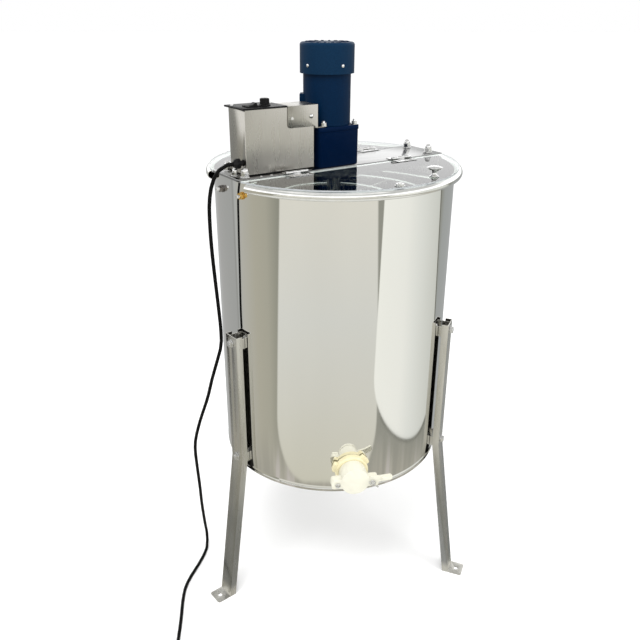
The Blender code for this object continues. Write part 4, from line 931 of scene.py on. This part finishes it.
def panel_distance(tree, azimuth, elevation, centre, drift, half, widening, bottom, corner):
    """1 on the outline of a soft box whose sides widen downwards and whose lower corners are round."""
    depth = math_node(tree, "SUBTRACT", -14.0, elevation)
    middle = math_node(tree, "ADD", math_node(tree, "MULTIPLY", depth, drift), centre)
    wide = math_node(tree, "ADD", math_node(tree, "MULTIPLY", depth, widening), 1.0)
    aside = math_node(tree, "ABSOLUTE", math_node(tree, "SUBTRACT", azimuth, middle))
    aside = math_node(tree, "DIVIDE", aside, wide)
    aside = math_node(tree, "DIVIDE", math_node(tree, "SUBTRACT", aside, half - corner[0]), corner[0])
    below = math_node(tree, "DIVIDE", math_node(tree, "SUBTRACT", bottom + corner[1], elevation), corner[1])
    aside = math_node(tree, "MAXIMUM", aside, 0.0)
    below = math_node(tree, "MAXIMUM", below, 0.0)
    total = math_node(tree, "ADD", math_node(tree, "MULTIPLY", aside, aside),
                      math_node(tree, "MULTIPLY", below, below))
    return math_node(tree, "SQRT", total)


def room_colour(tree, direction, azimuth, elevation):
    """The room round the soft boxes: walls by azimuth, and mottled ground below them."""
    walls = ramp_node(tree, azimuth, -180, 180, [
        (-180, (0.47, 0.45, 0.37)), (-166, (0.44, 0.425, 0.35)), (-152, (0.31, 0.31, 0.257)),
        (-140, (0.31, 0.31, 0.26)), (-60, (0.335, 0.335, 0.29)), (20, (0.29, 0.29, 0.25)),
        (30, (0.38, 0.395, 0.385)), (60, (0.40, 0.41, 0.41)), (90, (0.55, 0.56, 0.56)),
        (115, (0.42, 0.42, 0.41)), (149, (0.40, 0.405, 0.395)), (151, (0.30, 0.30, 0.285)),
        (153, (0.47, 0.48, 0.47)), (162, (0.51, 0.50, 0.45)), (180, (0.47, 0.45, 0.37)),
    ])
    mottle = tree.nodes.new("ShaderNodeTexNoise")
    mottle.inputs["Scale"].default_value = 7.0
    mottle.inputs["Detail"].default_value = 2.0
    tree.links.new(direction, mottle.inputs["Vector"])
    ground = ramp_node(tree, mottle.outputs["Fac"], 0.0, 1.0, [
        (0.38, (0.40, 0.385, 0.33)), (0.52, (0.48, 0.46, 0.39)), (0.64, (0.60, 0.56, 0.52))])
    return mix_node(tree, below_node(tree, elevation, -37.0, -32.0), walls, ground)


def add_soft_boxes(tree, azimuth, elevation, colour):
    """A cream soft box at the front left and a brighter one with a dark border at the front right."""
    cream = ramp_node(tree, elevation, -40, 0, [
        (-37, (0.69, 0.67, 0.56)), (-30, (0.73, 0.72, 0.65)), (-24, (0.75, 0.75, 0.70)),
        (-14, (0.81, 0.79, 0.71))])
    distance = panel_distance(tree, azimuth, elevation, -104.7, 0.0, 45.8, 0.0095, -37.0, (30.0, 5.5))
    colour = mix_node(tree, below_node(tree, distance, 0.97, 1.03), colour, cream)
    bright = ramp_node(tree, azimuth, -60, 30, [
        (-56, (1.0, 1.0, 0.93)), (-25, (0.95, 0.95, 0.89)), (-10, (0.84, 0.85, 0.80)),
        (8, (0.73, 0.74, 0.69)), (22, (0.66, 0.67, 0.62))])
    distance = panel_distance(tree, azimuth, elevation, -16.3, 0.2, 36.3, 0.0122, -33.3, (36.3, 5.0))
    border = math_node(tree, "MULTIPLY", below_node(tree, distance, 1.02, 1.07),
                       step_node(tree, azimuth, -52.0, -44.0))
    colour = mix_node(tree, border, colour, (0.15, 0.15, 0.12))
    return mix_node(tree, below_node(tree, distance, 0.985, 1.01), colour, bright)


def make_surround(tree):
    """What polished surfaces see: the room, its soft boxes, the pale floor and a bright ceiling."""
    place = tree.nodes.new("ShaderNodeTexCoord")
    split = tree.nodes.new("ShaderNodeSeparateXYZ")
    tree.links.new(place.outputs["Generated"], split.inputs[0])
    x, y, z = split.outputs
    azimuth = math_node(tree, "MULTIPLY", math_node(tree, "ARCTAN2", y, x), 180 / math.pi)
    elevation = math_node(tree, "MULTIPLY", math_node(tree, "ARCSINE", z), 180 / math.pi)
    colour = room_colour(tree, place.outputs["Generated"], azimuth, elevation)
    colour = add_soft_boxes(tree, azimuth, elevation, colour)
    colour = mix_node(tree, below_node(tree, elevation, -50.0, -42.0), colour, (0.85, 0.85, 0.81))
    sky = ramp_node(tree, elevation, 0, 90, [
        (0, (SKY, SKY, SKY)), (28, (SKY, SKY, SKY)), (36, (0.70, 0.70, 0.69)), (60, (0.62, 0.62, 0.61)),
        (66, (1.2, 1.2, 1.18)), (76, (0.8, 0.8, 0.79)), (90, (0.6, 0.6, 0.6))])
    return mix_node(tree, step_node(tree, elevation, 0.0, 6.0), colour, sky)


def make_world():
    """Even light for dull surfaces, the surround for polished ones and white behind everything."""
    world = bpy.data.worlds.new("studio")
    bpy.context.scene.world = world
    world.use_nodes = True
    tree = world.node_tree
    nodes, links = tree.nodes, tree.links
    nodes.clear()
    glossy = nodes.new("ShaderNodeBackground")
    links.new(make_surround(tree), glossy.inputs["Color"])
    plain = nodes.new("ShaderNodeBackground")
    plain.inputs["Color"].default_value = (1.0, 1.0, 1.0, 1.0)
    plain.inputs["Strength"].default_value = EVEN_LIGHT
    white = nodes.new("ShaderNodeBackground")
    white.inputs["Color"].default_value = (1.0, 1.0, 1.0, 1.0)
    path = nodes.new("ShaderNodeLightPath")
    first = nodes.new("ShaderNodeMixShader")
    links.new(path.outputs["Is Glossy Ray"], first.inputs["Fac"])
    links.new(plain.outputs[0], first.inputs[1])
    links.new(glossy.outputs[0], first.inputs[2])
    second = nodes.new("ShaderNodeMixShader")
    links.new(path.outputs["Is Camera Ray"], second.inputs["Fac"])
    links.new(first.outputs[0], second.inputs[1])
    links.new(white.outputs[0], second.inputs[2])
    output = nodes.new("ShaderNodeOutputWorld")
    links.new(second.outputs[0], output.inputs["Surface"])


def build():
    make_camera()
    materials = make_materials()
    make_cord(materials)
    make_drum(materials)
    make_legs(materials)
    make_top(materials)
    make_motor(materials)
    make_box(materials)
    make_basket(materials)
    make_gate(materials)
    make_studio()


build()
